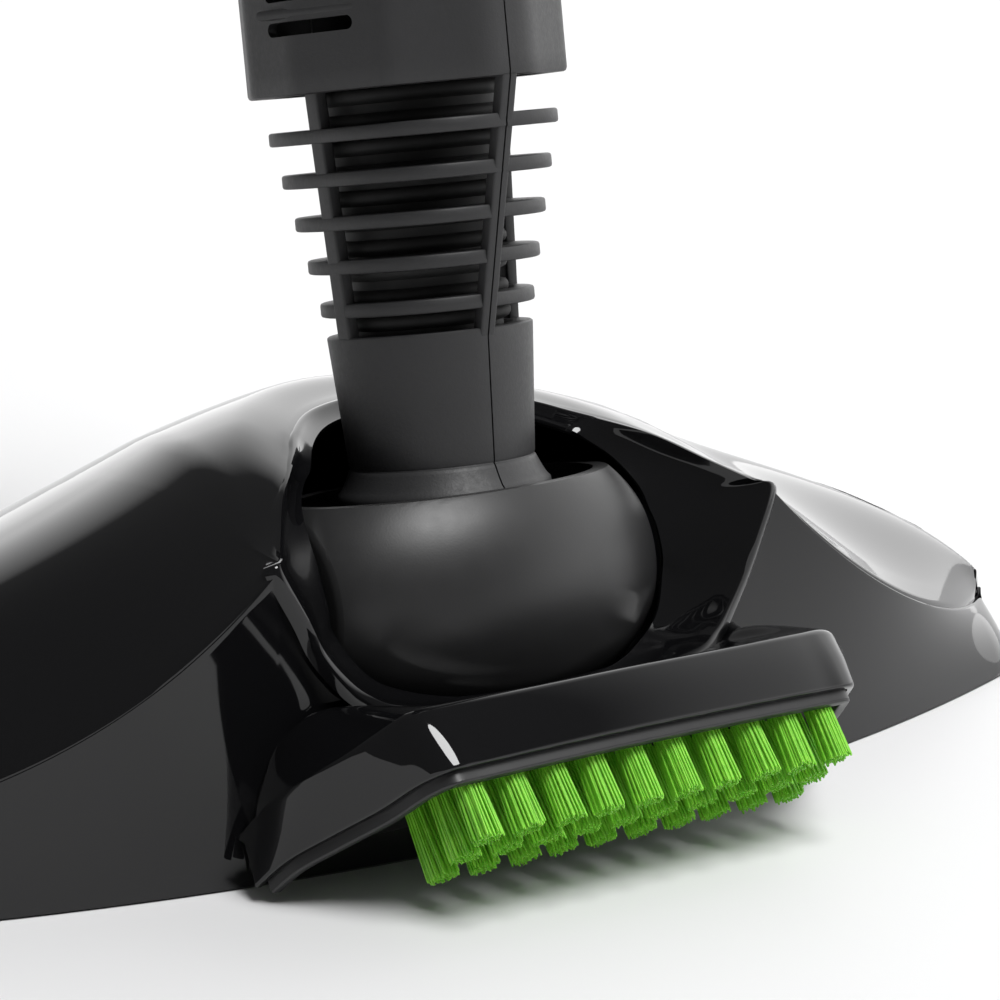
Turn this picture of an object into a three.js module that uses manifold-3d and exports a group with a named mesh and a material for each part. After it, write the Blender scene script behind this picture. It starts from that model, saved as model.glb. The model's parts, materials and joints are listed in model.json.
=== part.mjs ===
// Upright steam carpet cleaner: floor head with scrubbing brush, tilting barrel joint,
// ribbed neck, body with boiler, pump and water tank, and a long handle with a loop grip.
// Millimetres. +X right, +Y forward, +Z up. Origin on the sole, at the middle of the head.

import * as THREE from 'three';
import { mergeVertices } from 'three/addons/utils/BufferGeometryUtils.js';
import Module from 'manifold-3d';

const wasm = await Module();
wasm.setup();

// ---------------------------------------------------------------- driving dimensions
const GAP = 0.35; // clearance between touching pieces
const WALL = 2.4; // moulded wall thickness

const HEAD_HALF = 163; // half width of the head
const HEAD_REAR = -91.5; // rear edge on the centre line
const HEAD_FRONT = 95; // front edge on the centre line
const REAR_BOW = 0.00136; // the rear edge sweeps forward by this times x squared
const TIP_RADIUS = 16; // rounding of the wing tips
const TIP_Y = -42; // where the rear and front edges meet at the wing tips
const EDGE_HEIGHT = 14; // height of the cover's lower edge at the front
const DOME_HEIGHT = 84.6; // highest point of the deck
const DOME_Y = -42; // where the deck is highest
const V_X = 57.5; // the seam meets the cradle rim here
const SOLE = 3; // thickness of the sole plate

const PIVOT = new THREE.Vector3(0, -61, 45); // barrel centre
const LEAN = THREE.MathUtils.degToRad(9); // the parked neck leans forward
const BARREL_RADIUS = 31.2;
const BARREL_REACH = 45.5; // half length of the ellipse that crowns the barrel
const BARREL_END = 38; // half length of the barrel itself
const BARREL_CUT = 19; // the open top is cut this far above the pivot

const SLEEVE_FOOT = 17.5; // heights along the neck, from the pivot
const SLEEVE_WAIST = 23.7;
const SLEEVE_TOP = 50.3;
const FIRST_FIN = 55.6;
const FIN_PITCH = 8.55;
const FIN_COUNT = 5;
const FIN_THICKNESS = 2.8;
const BODY_FOOT = 98;
const BODY_SHOULDER = 205;
const BODY_TOP = 400;
const BODY_NECK = 452;
const TUBE_RADIUS = 12;
const TUBE_JOINT = 690;
const TUBE_TOP = 905;
const GRIP_TOP = 1075;

const BRUSH_TUFTS = 10;
const TUFT_PITCH = 9.06;
const TUFT_RADIUS = 3;

// ---------------------------------------------------------------- materials
const finish = (color, roughness, metalness = 0) => (
  () => new THREE.MeshStandardMaterial({ color, roughness, metalness })
);
const gloss = finish(0x0b0c0d, 0.08);
const satin = finish(0x141516, 0.45);
const grained = finish(0x1a1b1c, 0.6);
const rubber = finish(0x101010, 0.8);
const bristle = finish(0x4cc81e, 0.5);
const steel = finish(0xb9bcc0, 0.3, 1);
const brass = finish(0xb08d4a, 0.35, 1);
const clear = finish(0x9fb6bd, 0.1);
const green = finish(0x58c322, 0.35);
const board = finish(0x1f5a36, 0.6);
const grey = finish(0x5b5f63, 0.5);

// ---------------------------------------------------------------- solid helpers
function solidOf(geometry) {
  const bare = geometry.clone();
  bare.deleteAttribute('normal');
  bare.deleteAttribute('uv');
  const merged = mergeVertices(bare, 1e-4);
  return new wasm.Manifold(new wasm.Mesh({
    numProp: 3,
    vertProperties: new Float32Array(merged.attributes.position.array),
    triVerts: new Uint32Array(merged.index.array),
  }));
}

function geometryOf(solid) {
  const mesh = solid.getMesh();
  const geometry = new THREE.BufferGeometry();
  geometry.setAttribute('position', new THREE.BufferAttribute(mesh.vertProperties, 3));
  geometry.setIndex(new THREE.BufferAttribute(mesh.triVerts, 1));
  return geometry;
}

const join = (first, ...rest) => geometryOf(
  rest.reduce((sum, next) => sum.add(solidOf(next)), solidOf(first)),
);
const cut = (first, ...rest) => geometryOf(
  rest.reduce((sum, next) => sum.subtract(solidOf(next)), solidOf(first)),
);
const common = (first, second) => geometryOf(solidOf(first).intersect(solidOf(second)));

// Closed skin through equal loops of points. A ring also joins the last loop to the first.
function loft(loops, ring = false) {
  const count = loops[0].length;
  const points = loops.flat().map((p) => new THREE.Vector3(...p));
  const index = [];
  const spans = ring ? loops.length : loops.length - 1;
  for (let i = 0; i < spans; i += 1) {
    const here = i * count;
    const next = ((i + 1) % loops.length) * count;
    for (let j = 0; j < count; j += 1) {
      const k = (j + 1) % count;
      index.push(here + j, here + k, next + k, here + j, next + k, next + j);
    }
  }
  if (!ring) {
    [0, (loops.length - 1) * count].forEach((start, end) => {
      const middle = new THREE.Vector3();
      points.slice(start, start + count).forEach((p) => middle.addScaledVector(p, 1 / count));
      points.push(middle);
      for (let j = 0; j < count; j += 1) {
        const pair = [start + j, start + ((j + 1) % count)];
        index.push(points.length - 1, pair[1 - end], pair[end]);
      }
    });
  }
  let volume = 0;
  for (let t = 0; t < index.length; t += 3) {
    const [a, b, c] = index.slice(t, t + 3).map((n) => points[n]);
    volume += a.dot(b.clone().cross(c));
  }
  if (volume < 0) {
    index.reverse();
  }
  const geometry = new THREE.BufferGeometry().setFromPoints(points);
  geometry.setIndex(index);
  return geometry;
}

const moved = (geometry, x, y, z) => geometry.clone().translate(x, y, z);
const block = (x, y, z, wide, deep, high) => (
  new THREE.BoxGeometry(wide, deep, high).translate(x, y, z)
);

// Round bar between two heights on the axis X, Y or Z
function rod(axis, radius, from, to, sides = 20, endRadius = radius) {
  const bar = new THREE.CylinderGeometry(endRadius, radius, to - from, sides);
  bar.translate(0, (from + to) / 2, 0);
  if (axis === 'X') bar.rotateZ(-Math.PI / 2);
  if (axis === 'Z') bar.rotateX(Math.PI / 2);
  return bar;
}

// Lathe about +Z from [radius, height] pairs
const turned = (profile, sides = 32) => new THREE.LatheGeometry(
  profile.map(([r, h]) => new THREE.Vector2(r, h)), sides,
).rotateX(Math.PI / 2);

// Superellipse loop of half sizes a and b about (x, y), at height z
function oval(a, b, z, power = 2.4, count = 32, x = 0, y = 0) {
  return Array.from({ length: count }, (_, i) => {
    const t = (i / count) * Math.PI * 2;
    const c = Math.cos(t);
    const s = Math.sin(t);
    return [
      x + a * Math.sign(c) * Math.abs(c) ** (2 / power),
      y + b * Math.sign(s) * Math.abs(s) ** (2 / power),
      z,
    ];
  });
}

// Tube of round section along a list of points
function hose(points, radius, steps, sides = 8) {
  const path = new THREE.CatmullRomCurve3(points.map((p) => new THREE.Vector3(...p)));
  const section = new THREE.Shape();
  for (let i = 0; i < sides; i += 1) {
    const t = (i / sides) * Math.PI * 2;
    section[i ? 'lineTo' : 'moveTo'](radius * Math.cos(t), radius * Math.sin(t));
  }
  return new THREE.ExtrudeGeometry(section, { steps, extrudePath: path, bevelEnabled: false });
}

// ---------------------------------------------------------------- head surfaces
function rearEdge(x) {
  const past = Math.max(0, Math.abs(x) - (HEAD_HALF - TIP_RADIUS)) / TIP_RADIUS;
  const corner = TIP_RADIUS * (1 - Math.sqrt(Math.max(0, 1 - past * past)));
  return HEAD_REAR + REAR_BOW * x * x + corner;
}

function frontEdge(x) {
  const across = Math.min(1, Math.abs(x) / HEAD_HALF);
  return TIP_Y + (HEAD_FRONT - TIP_Y) * (1 - across * across) ** 0.6;
}

// Height of the seam between cover and base along the rear edge
function seam(x) {
  const out = Math.abs(x);
  if (out < V_X) return 69.5 - 7.3 * (out / V_X) ** 4;
  return 62.2 * Math.exp(-(out - V_X) / 63.5);
}

// Height of the deck
function deck(x, y) {
  const out = Math.abs(x);
  const spread = Math.hypot(out, 12) / HEAD_HALF;
  const middle = 14 + (DOME_HEIGHT - 14) * Math.max(0, 1 - spread ** 1.27) ** 0.79;
  if (y < DOME_Y) {
    const rear = rearEdge(x);
    const rise = Math.sin(Math.PI / 2 * Math.min(1, Math.max(0, (y - rear) / (DOME_Y - rear))));
    const low = seam(out + 0.22 * Math.max(0, y + 90));
    return low + (middle - low) * rise;
  }
  const fall = Math.min(1, (y - DOME_Y) / Math.max(1, frontEdge(x) - DOME_Y));
  return EDGE_HEIGHT + (middle - EDGE_HEIGHT) * (1 - fall ** 2.06) ** 1.38;
}

// Top of the base wall below the cradle rim
const rimLow = (x) => 30 + 32 * (Math.abs(x) / 57.3) ** 4.7;

// Stations across the head, closer together towards the wing tips
const across = (count, reach) => Array.from({ length: count + 1 }, (_, i) => (
  reach * Math.sin(Math.PI / 2 * (2 * i / count - 1))
));

// Outline of the head, pulled in by an amount, as [x, y] pairs, anticlockwise
function headOutline(inset) {
  const scale = (HEAD_HALF - inset) / HEAD_HALF;
  const place = (x, edge, side) => [x * scale, edge(x) + side * inset];
  const stations = across(28, HEAD_HALF * 0.999);
  return [
    ...stations.map((x) => place(x, rearEdge, 1)),
    ...stations.reverse().map((x) => place(x, frontEdge, -1)).slice(1, -1),
  ];
}

// ---------------------------------------------------------------- scene graph
const group = new THREE.Group();
const barrel = new THREE.Group();
barrel.position.copy(PIVOT);
barrel.rotation.x = -LEAN;
group.add(barrel);
const mast = new THREE.Group();
mast.position.copy(PIVOT);
mast.rotation.x = -LEAN;
group.add(mast);

function piece(name, geometry, material, parent = group) {
  const mesh = new THREE.Mesh(geometry, material());
  mesh.name = name;
  parent.add(mesh);
  return mesh;
}

// ---------------------------------------------------------------- head
function plateShape(outline) {
  return new THREE.Shape(outline.map(([x, y]) => new THREE.Vector2(x, y)));
}

function makeSole() {
  const shape = plateShape(headOutline(WALL + GAP));
  const plate = new THREE.ExtrudeGeometry(shape, { depth: SOLE, bevelEnabled: false });
  const holes = [];
  for (let i = -3; i <= 3; i += 1) {
    if (i !== 0) holes.push(moved(rod('Z', 2, -1, SOLE + 1, 10), i * 24, 52 - i * i * 2, 0));
  }
  for (const [x, y] of COVER_SCREWS) {
    holes.push(moved(rod('Z', 5, -1, SOLE + 1, 12), x, y, 0));
  }
  return cut(plate, ...holes);
}

function makeBaseWall() {
  const outer = headOutline(0);
  const inner = headOutline(WALL);
  const loops = outer.map(([x, y], i) => {
    const rear = y < TIP_Y && i <= 28;
    const middle = Math.abs(x) < V_X;
    const [ix, iy] = inner[i];
    const under = Math.min(deck(x, y), deck(ix, iy)) - WALL - GAP;
    const top = rear && middle ? Math.min(under, rimLow(x) - 5) : under;
    const draft = rear ? 0.02 * top : 0;
    return [[x, y, 0], [x, y + draft, top], [ix, iy + draft, top], [ix, iy, 0]];
  });
  return loft(loops, true);
}

// Outer rim of the cradle and its inner lip, from the front round to the rear, right side
const CRADLE = [
  [[0, 58.5, 77.5], [0, 55, 75]],
  [[16, 54, 77], [14.5, 51, 74.5]],
  [[27, 43, 75.6], [24.5, 41.5, 73]],
  [[33.3, 33.6, 73.6], [30.5, 32.5, 70.8]],
  [[42.2, 22.4, 70.8], [33.5, 30.5, 68.8]],
  [[49.4, 12, 66.3], [37, 26, 65.5]],
  [[54.5, 4, 63], [39, 20, 60.5]],
  [[57, 0.2, 61.5], [39.2, 17, 56.5]],
  [[52.3, -0.9, 51.9], [39.6, 14.7, 53.1]],
  [[49, -1, 45.2], [39.4, 12.4, 47.8]],
  [[45, -1.7, 39.8], [39, 12, 44]],
  [[40.9, -3.1, 35.9], [35.4, 8.6, 37.4]],
  [[35.2, -5.4, 33.3], [29.8, 6.6, 33]],
  [[20, -6.8, 31.4], [18, 1.2, 30.3]],
  [[0, -7.6, 30.6], [0, -1.2, 29.6]],
].map((pair) => pair.map(([x, y, z]) => [x, y - 90, z]));

function mirrored(stations) {
  const flipped = stations.slice(1, -1).reverse();
  return [...stations, ...flipped.map((pair) => pair.map(([x, y, z]) => [-x, y, z]))];
}

// The bowl sags between rim and lip, and is thickened away from the barrel
function makeCradle() {
  const stations = mirrored(CRADLE).map((pair) => pair.map((p) => new THREE.Vector3(...p)));
  const loops = stations.map(([rim, lip], i) => {
    const [before] = stations.at(i - 1);
    const [after] = stations[(i + 1) % stations.length];
    const sag = rim.clone().lerp(lip, 0.55);
    sag.z -= 1;
    const away = after.clone().sub(before).cross(lip.clone().sub(rim)).normalize();
    const outDown = new THREE.Vector3(sag.x, sag.y - PIVOT.y, -30);
    away.multiplyScalar(away.dot(outDown) < 0 ? -2 : 2);
    const steep = Math.abs(after.clone().sub(before).normalize().z);
    const down = new THREE.Vector3(0, 0, -2).lerp(away, Math.min(1, steep * 1.6));
    return [rim, sag, lip, lip.clone().add(away), sag.clone().add(away), rim.clone().add(down)]
      .map((p) => p.toArray());
  });
  return loft(loops, true);
}

function cradleOpening(grow) {
  const right = CRADLE.slice(0, 8).map(([rim]) => [rim[0] + (rim[0] ? grow : 0), rim[1] + grow]);
  right.push([right[7][0], -130]);
  const left = right.map(([x, y]) => [-x, y]).reverse().slice(0, -1);
  const shape = plateShape([...right, ...left]);
  return new THREE.ExtrudeGeometry(shape, { depth: 120, bevelEnabled: false });
}

// Oblong pocket on a wing: an upright slot with round ends, turned outwards
const POCKET = { x: 129.5, y: -28, half: 6, radius: 14.4, turn: THREE.MathUtils.degToRad(81) };

function pocketPrism(side, grow, low, high) {
  const shape = new THREE.Shape();
  const radius = POCKET.radius + grow;
  shape.absarc(0, POCKET.half, radius, 0, Math.PI);
  shape.absarc(0, -POCKET.half, radius, Math.PI, Math.PI * 2);
  const prism = new THREE.ExtrudeGeometry(shape, {
    depth: high - low, bevelEnabled: false, curveSegments: 8,
  });
  return prism.rotateZ(-side * POCKET.turn).translate(side * POCKET.x, POCKET.y, low);
}

function deckSlab(columns, rows, drop, thickness, reach, inset) {
  const loops = across(columns, reach).map((x) => {
    const from = rearEdge(x) + inset;
    const to = frontEdge(x) - inset;
    const line = Array.from({ length: rows + 1 }, (_, j) => {
      const y = from + (to - from) * (j / rows);
      return [x, y, deck(x, y) - drop];
    });
    const under = line.map(([px, py, pz]) => [px, py, pz - thickness]).reverse();
    return [...line, ...under];
  });
  return loft(loops);
}

const COVER_SCREWS = [[-88, -38], [88, -38], [-62, 30], [62, 30]];

function makeCover() {
  const slab = deckSlab(22, 9, 0, WALL, HEAD_HALF * 0.985, 0.4);
  const bosses = COVER_SCREWS.map(([x, y]) => (
    moved(rod('Z', 4.5, 10, deck(x, y) - 1.2, 12), x, y, 0)
  ));
  const bores = COVER_SCREWS.map(([x, y]) => moved(rod('Z', 2, 5, 26, 10), x, y, 0));
  const solid = join(slab, ...bosses);
  const cuts = [-1, 1].map((side) => pocketPrism(side, GAP, 0, 90));
  return cut(solid, ...bores, ...cuts, cradleOpening(4 * GAP));
}

function makePocketTray(side) {
  const floorHeight = 21;
  const well = pocketPrism(side, 0, floorHeight - WALL, 90);
  const hollow = pocketPrism(side, -WALL, floorHeight, 90);
  const under = deckSlab(26, 10, 1.2, 40, HEAD_HALF * 0.98, 3);
  return cut(common(well, under), hollow);
}

// Brush hood: sections across the head; each is [x, top edge, lip edge] in the plane YZ
const HOOD = [
  [67, [-14, 16], [-7.5, 6.6]],
  [64, [-19, 26.5], [-10.6, 9.7]],
  [58.7, [-22.7, 31.8], [-18.2, 15.7]],
  [53.6, [-26.2, 36.3], [-26.8, 22.2]],
  [50.6, [-28, 38.6], [-33.6, 27.6]],
  [47, [-29.6, 40.4], [-38.9, 31.4]],
  [38, [-30, 40.8], [-39.3, 31.7]],
  [18, [-30.4, 41.2], [-39.8, 32.2]],
  [0, [-30.6, 41.3], [-40, 32.4]],
];
const HOOD_LOW = [-5.4, 4.5];
const HOOD_TILT = Math.atan2(26.9, 33.5); // the open side rises towards the rear

// Puts a solid on the open side of the hood: x across, y up the slope, z out of the opening
function onHood(geometry) {
  geometry.applyMatrix4(new THREE.Matrix4().makeBasis(
    new THREE.Vector3(1, 0, 0),
    new THREE.Vector3(0, -Math.cos(HOOD_TILT), Math.sin(HOOD_TILT)),
    new THREE.Vector3(0, -Math.sin(HOOD_TILT), -Math.cos(HOOD_TILT)),
  ));
  return geometry.translate(0, HOOD_LOW[0] - 90, HOOD_LOW[1]);
}

// Prism in the hood from [distance up the slope, half width] pairs
function hoodPrism(outline, from, to) {
  const points = [
    ...outline.map(([up, half]) => [half, up]),
    ...[...outline].reverse().map(([up, half]) => [-half, up]),
  ];
  const prism = new THREE.ExtrudeGeometry(plateShape(points), {
    depth: to - from, bevelEnabled: false,
  });
  return onHood(prism.translate(0, 0, from));
}
const BRUSH_WELL = [[5, 59], [14.8, 55.5], [27, 49.8], [41.6, 44.5]];
const inWell = (amount) => BRUSH_WELL.map(([up, half], i) => (
  [up + (i === 0 ? amount : i === 3 ? -amount : 0), half - amount]
));

function makeHood() {
  const sections = [...HOOD, ...HOOD.slice(0, -1).map(([x, ...rest]) => [-x, ...rest]).reverse()];
  const loops = sections.map(([x, [topY, topZ], [lipY, lipZ]]) => {
    const wall = rearEdge(Math.min(Math.abs(x), 62)) - GAP;
    const height = Math.abs(x) > 48 ? topZ : Math.min(27, rimLow(x) - 8);
    return [
      [x, wall, Math.min(height, topZ - 1)],
      [x, topY - 90, topZ],
      [x, lipY - 90, lipZ],
      [x, HOOD_LOW[0] - 90, HOOD_LOW[1]],
      [x, wall, 2.5],
    ];
  });
  return cut(loft(loops), hoodPrism(BRUSH_WELL, -9.5, 3));
}

function makeBrushPlate() {
  return hoodPrism(inWell(0.6), -9, -6);
}

// One row of tufts on its strip, in the plane of the open side of the hood
function makeBristleRow(row) {
  const up = 37.6 - row * 9.2;
  const length = 12.5;
  const strip = block(0, up, -4.7, 86 + row * 4, 5.6, 1.8);
  const tufts = [];
  for (let i = 0; i < BRUSH_TUFTS; i += 1) {
    const x = (i - (BRUSH_TUFTS - 1) / 2) * TUFT_PITCH;
    tufts.push(moved(rod('Z', TUFT_RADIUS - 0.4, -4.5, length, 8, TUFT_RADIUS), x, up, 0));
  }
  return onHood(join(strip, ...tufts));
}

// Bearing pedestal beside the barrel, split round the axle
function makePedestal(side) {
  const post = block(side * 50, PIVOT.y, (SOLE + GAP + 38) / 2 + 2, 12, 22, 38 - SOLE - GAP);
  const eye = moved(rod('X', 11, side * 50 - 6, side * 50 + 6, 20), 0, PIVOT.y, PIVOT.z);
  const foot = block(side * 50, PIVOT.y, SOLE + GAP + 2, 16, 34, 4);
  const bore = moved(rod('X', 6 + GAP, side * 50 - 8, side * 50 + 8, 20), 0, PIVOT.y, PIVOT.z);
  return cut(join(post, eye, foot), bore);
}

function makeHead() {
  piece('sole_plate', makeSole(), satin);
  piece('base_shell', makeBaseWall(), gloss);
  piece('top_cover', makeCover(), gloss);
  piece('cradle_ring', makeCradle(), gloss);
  piece('brush_hood', makeHood(), gloss);
  piece('brush_plate', makeBrushPlate(), satin);
  for (let row = 0; row < 3; row += 1) {
    piece(`bristle_row_${row + 1}`, makeBristleRow(row), bristle);
  }
  for (const [name, side] of [['left', -1], ['right', 1]]) {
    piece(`pocket_tray_${name}`, makePocketTray(side), satin);
    piece(`bearing_pedestal_${name}`, makePedestal(side), grey);
  }
  COVER_SCREWS.forEach(([x, y], i) => {
    const screw = join(rod('Z', 1.6, 0.8, 22, 8), rod('Z', 4, 0.5, 2.8, 12));
    piece(`cover_screw_${i + 1}`, moved(screw, x, y, 0), steel);
  });
  const manifold = join(
    block(0, 40, SOLE + GAP + 5, 100, 16, 10),
    moved(rod('Z', 4, 10, 20, 12), 0, 40, 0),
  );
  piece('steam_manifold', cut(manifold, moved(rod('Z', 2.2, 8, 26, 10), 0, 40, 0)), grey);
  piece('head_hose', hose(HEAD_HOSE, 4, 12), rubber);
  piece('park_spring', makeParkSpring(), steel);
}

const HEAD_HOSE = [[0, 40, 20.6], [0, 39, 30], [0, 22, 36], [0, 2, 34], [0, -14, 38], [0, -24, 45]];

// Leaf spring that holds the barrel in its parked position, standing in front of it
function makeParkSpring() {
  const leaf = block(20, PIVOT.y + 33.5, 25, 12, 1, 42.6);
  const foot = block(20, PIVOT.y + 38, SOLE + GAP + 0.6, 12, 10, 1.2);
  return join(leaf, foot);
}

// ---------------------------------------------------------------- barrel
const crown = (x) => BARREL_RADIUS * Math.sqrt(1 - (x / BARREL_REACH) ** 2);

function makeBarrel() {
  const steps = 10;
  const outer = across(steps, BARREL_END).map((x) => [crown(x), x]);
  const inner = across(steps, BARREL_END - WALL).map((x) => [crown(x) - WALL, x]).reverse();
  const skin = turned([[0, -BARREL_END], ...outer, [0, BARREL_END]], 30);
  const hollow = turned([[0, BARREL_END - WALL], ...inner, [0, WALL - BARREL_END]].reverse(), 30);
  const shell = cut(skin.rotateY(Math.PI / 2), hollow.rotateY(Math.PI / 2));
  const open = block(0, 0, BARREL_CUT + 30, 120, 120, 60);
  const axleBores = rod('X', 6 + GAP, -60, 60, 20);
  const pinBore = rod('Y', 4 + GAP, -60, 60, 16);
  const hosePort = block(0, 22, -2, 12, 24, 44);
  return cut(shell, open, axleBores, pinBore, hosePort);
}

function makeBarrelGroup() {
  piece('barrel_shell', makeBarrel(), satin, barrel);
  for (const [name, side] of [['left', -1], ['right', 1]]) {
    const flange = [side * (BARREL_END + GAP), side * (BARREL_END + 1.8)].sort((a, b) => a - b);
    const shaft = [side * (BARREL_END - 8), side * 57].sort((a, b) => a - b);
    const axle = join(rod('X', 6, ...shaft), rod('X', 9, ...flange));
    piece(`axle_${name}`, axle, grey, barrel);
  }
  piece('swing_pin', join(rod('Y', 4, -27.5, 27.5, 16)), steel, barrel);
}

// ---------------------------------------------------------------- neck
// Half of a piece: the side of x that is kept, with the parting gap down the middle
function half(geometry, side) {
  return common(geometry, block(side * (100 + GAP / 2), 0, 600, 200, 400, 1400));
}

function neckWall() {
  const outside = [
    [16, SLEEVE_FOOT], [21.2, SLEEVE_FOOT], [20.2, 20], [19.2, 22], [18.6, SLEEVE_WAIST],
    [20.5, SLEEVE_TOP], [16.8, SLEEVE_TOP], [16, SLEEVE_FOOT],
  ];
  return turned(outside, 30);
}

// Fins grow from round at the sleeve to a long oval under the body
function finOutline(height, inside) {
  const t = (height - SLEEVE_TOP) / (BODY_FOOT - SLEEVE_TOP);
  return [20.2 + 2.8 * t - inside, 20.2 + 15.8 * t - inside, 2 + 0.8 * t];
}

function makeFin(index) {
  const middle = FIRST_FIN + index * FIN_PITCH;
  const [a, b, power] = finOutline(middle, 0);
  const low = middle - FIN_THICKNESS / 2;
  const disc = loft([oval(a, b, low, power, 28), oval(a, b, low + FIN_THICKNESS, power, 28)]);
  return cut(disc, rod('Z', 17.4, low - 1, low + FIN_THICKNESS + 1, 24));
}

// Upright bars: one at each side, one at the front and one at the rear that slant outwards
function makeBars() {
  const low = SLEEVE_TOP - 2;
  const high = BODY_FOOT + 3;
  const [, reach] = finOutline(high, 0);
  const bar = (x0, y0, x1, y1, wide, deep) => loft([
    oval(wide, deep, low, 6, 12, x0, y0),
    oval(wide, deep, high, 6, 12, x1, y1),
  ]);
  return [
    bar(-18.9, 0, -21.2, 0, 1.5, 3),
    bar(18.9, 0, 21.2, 0, 1.5, 3),
    bar(0, -18.9, 0, -reach + 1.4, 3, 1.5),
    bar(0, 18.9, 0, reach - 1.4, 3, 1.5),
  ];
}

// Flange at the top of the neck that sits inside the body shells
function neckFlange() {
  const ring = loft([oval(23, 31, BODY_FOOT + 2, 2.8), oval(23, 31, BODY_FOOT + 6, 2.8)]);
  return cut(ring, rod('Z', 17.4, BODY_FOOT, BODY_FOOT + 8, 24));
}

function makeNeck() {
  const fins = Array.from({ length: FIN_COUNT }, (_, i) => makeFin(i));
  const whole = join(neckWall(), ...fins, ...makeBars(), neckFlange());
  piece('neck_shell_left', half(whole, -1), grained, mast);
  piece('neck_shell_right', half(whole, 1), grained, mast);
  const trunk = turned([[0, 3], [11, 3], [13.5, SLEEVE_FOOT], [15.4, 20], [15.4, 30], [0, 30]], 24);
  const eye = rod('Y', 10, -14, 14, 20);
  const bore = rod('Y', 4 + GAP, -20, 20, 16);
  const channel = moved(rod('Z', 4.5, 12, 40, 12), 0, 0, 0);
  piece('neck_foot', cut(join(trunk, eye), bore, channel), grey, mast);
  const core = [[8, 31]];
  for (let i = 0; i < 6; i += 1) {
    const z = 32 + i * 11.4;
    core.push([15.6, z], [15.6, z + 5], [14, z + 6], [14, z + 10.4]);
  }
  core.push([8, 102], [8, 31]);
  piece('corrugated_sleeve', turned(core, 16), rubber, mast);
  piece('steam_hose', rod('Z', 4, 32, 134, 12), rubber, mast);
}

// ---------------------------------------------------------------- body
// Half sizes of the body at a height along the neck: [height, half x, half y, shift, power]
const BODY = [
  [BODY_FOOT, 27.5, 36, 0, 2.8],
  [122, 28.2, 36.6, 0, 2.8],
  [150, 33, 40, 0, 2.8],
  [BODY_SHOULDER, 50, 47, 2, 2.8],
  [260, 54, 48, 2, 2.8],
  [365, 53, 46, 2, 2.8],
  [BODY_TOP, 47, 43, 1, 2.8],
  [435, 27, 29, 0, 2.4],
  [BODY_NECK, 19, 19, 0, 2],
];

const bodySkin = (inside, shrinkEnds) => loft(BODY.map(([z, a, b, shift, power], i) => {
  const end = i === 0 ? shrinkEnds : i === BODY.length - 1 ? -shrinkEnds : 0;
  return oval(a - inside, b - inside, z + end, power, 32, 0, shift);
}));

// Louvres: short level slots low on each side of the rear
function louvres() {
  const slots = [];
  for (const side of [-1, 1]) {
    for (let i = 0; i < 3; i += 1) {
      const slot = block(0, 0, 0, 16, 12, 2.4);
      slot.rotateZ(-side * 1.05);
      slots.push(moved(slot, side * 23, -22, 110 + i * 5.5));
    }
  }
  return slots;
}

const TANK = { y: 39, low: 232, high: 376, wide: 38, deep: 27 };
const BAY_HEADROOM = 19; // room over the tank for its cap
const tankSkin = (inside) => loft([
  oval(TANK.wide - inside - 3, TANK.deep - inside - 3, TANK.low + inside, 2.8, 28, 0, TANK.y),
  oval(TANK.wide - inside, TANK.deep - inside, TANK.low + 10 + inside, 2.8, 28, 0, TANK.y),
  oval(TANK.wide - inside, TANK.deep - inside, TANK.high - 14 - inside, 2.8, 28, 0, TANK.y),
  oval(TANK.wide - inside - 6, TANK.deep - inside - 6, TANK.high - inside, 2.8, 28, 0, TANK.y - 3),
]);

function tankBay() {
  const bay = loft([
    oval(TANK.wide + 1, TANK.deep + 1, TANK.low - 1.5, 2.8, 28, 0, TANK.y),
    oval(TANK.wide + 1, TANK.deep + 1, TANK.high + BAY_HEADROOM, 2.8, 28, 0, TANK.y),
  ]);
  const high = TANK.high - TANK.low + BAY_HEADROOM + 1.5;
  return join(bay, block(0, TANK.y + 30, TANK.low - 1.5 + high / 2, TANK.wide * 2 + 2, 60, high));
}

const bayWall = () => loft([
  oval(TANK.wide + 3.4, TANK.deep + 3.4, TANK.low - 4, 2.8, 28, 0, TANK.y),
  oval(TANK.wide + 3.4, TANK.deep + 3.4, TANK.high + BAY_HEADROOM + 3, 2.8, 28, 0, TANK.y),
]);

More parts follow.
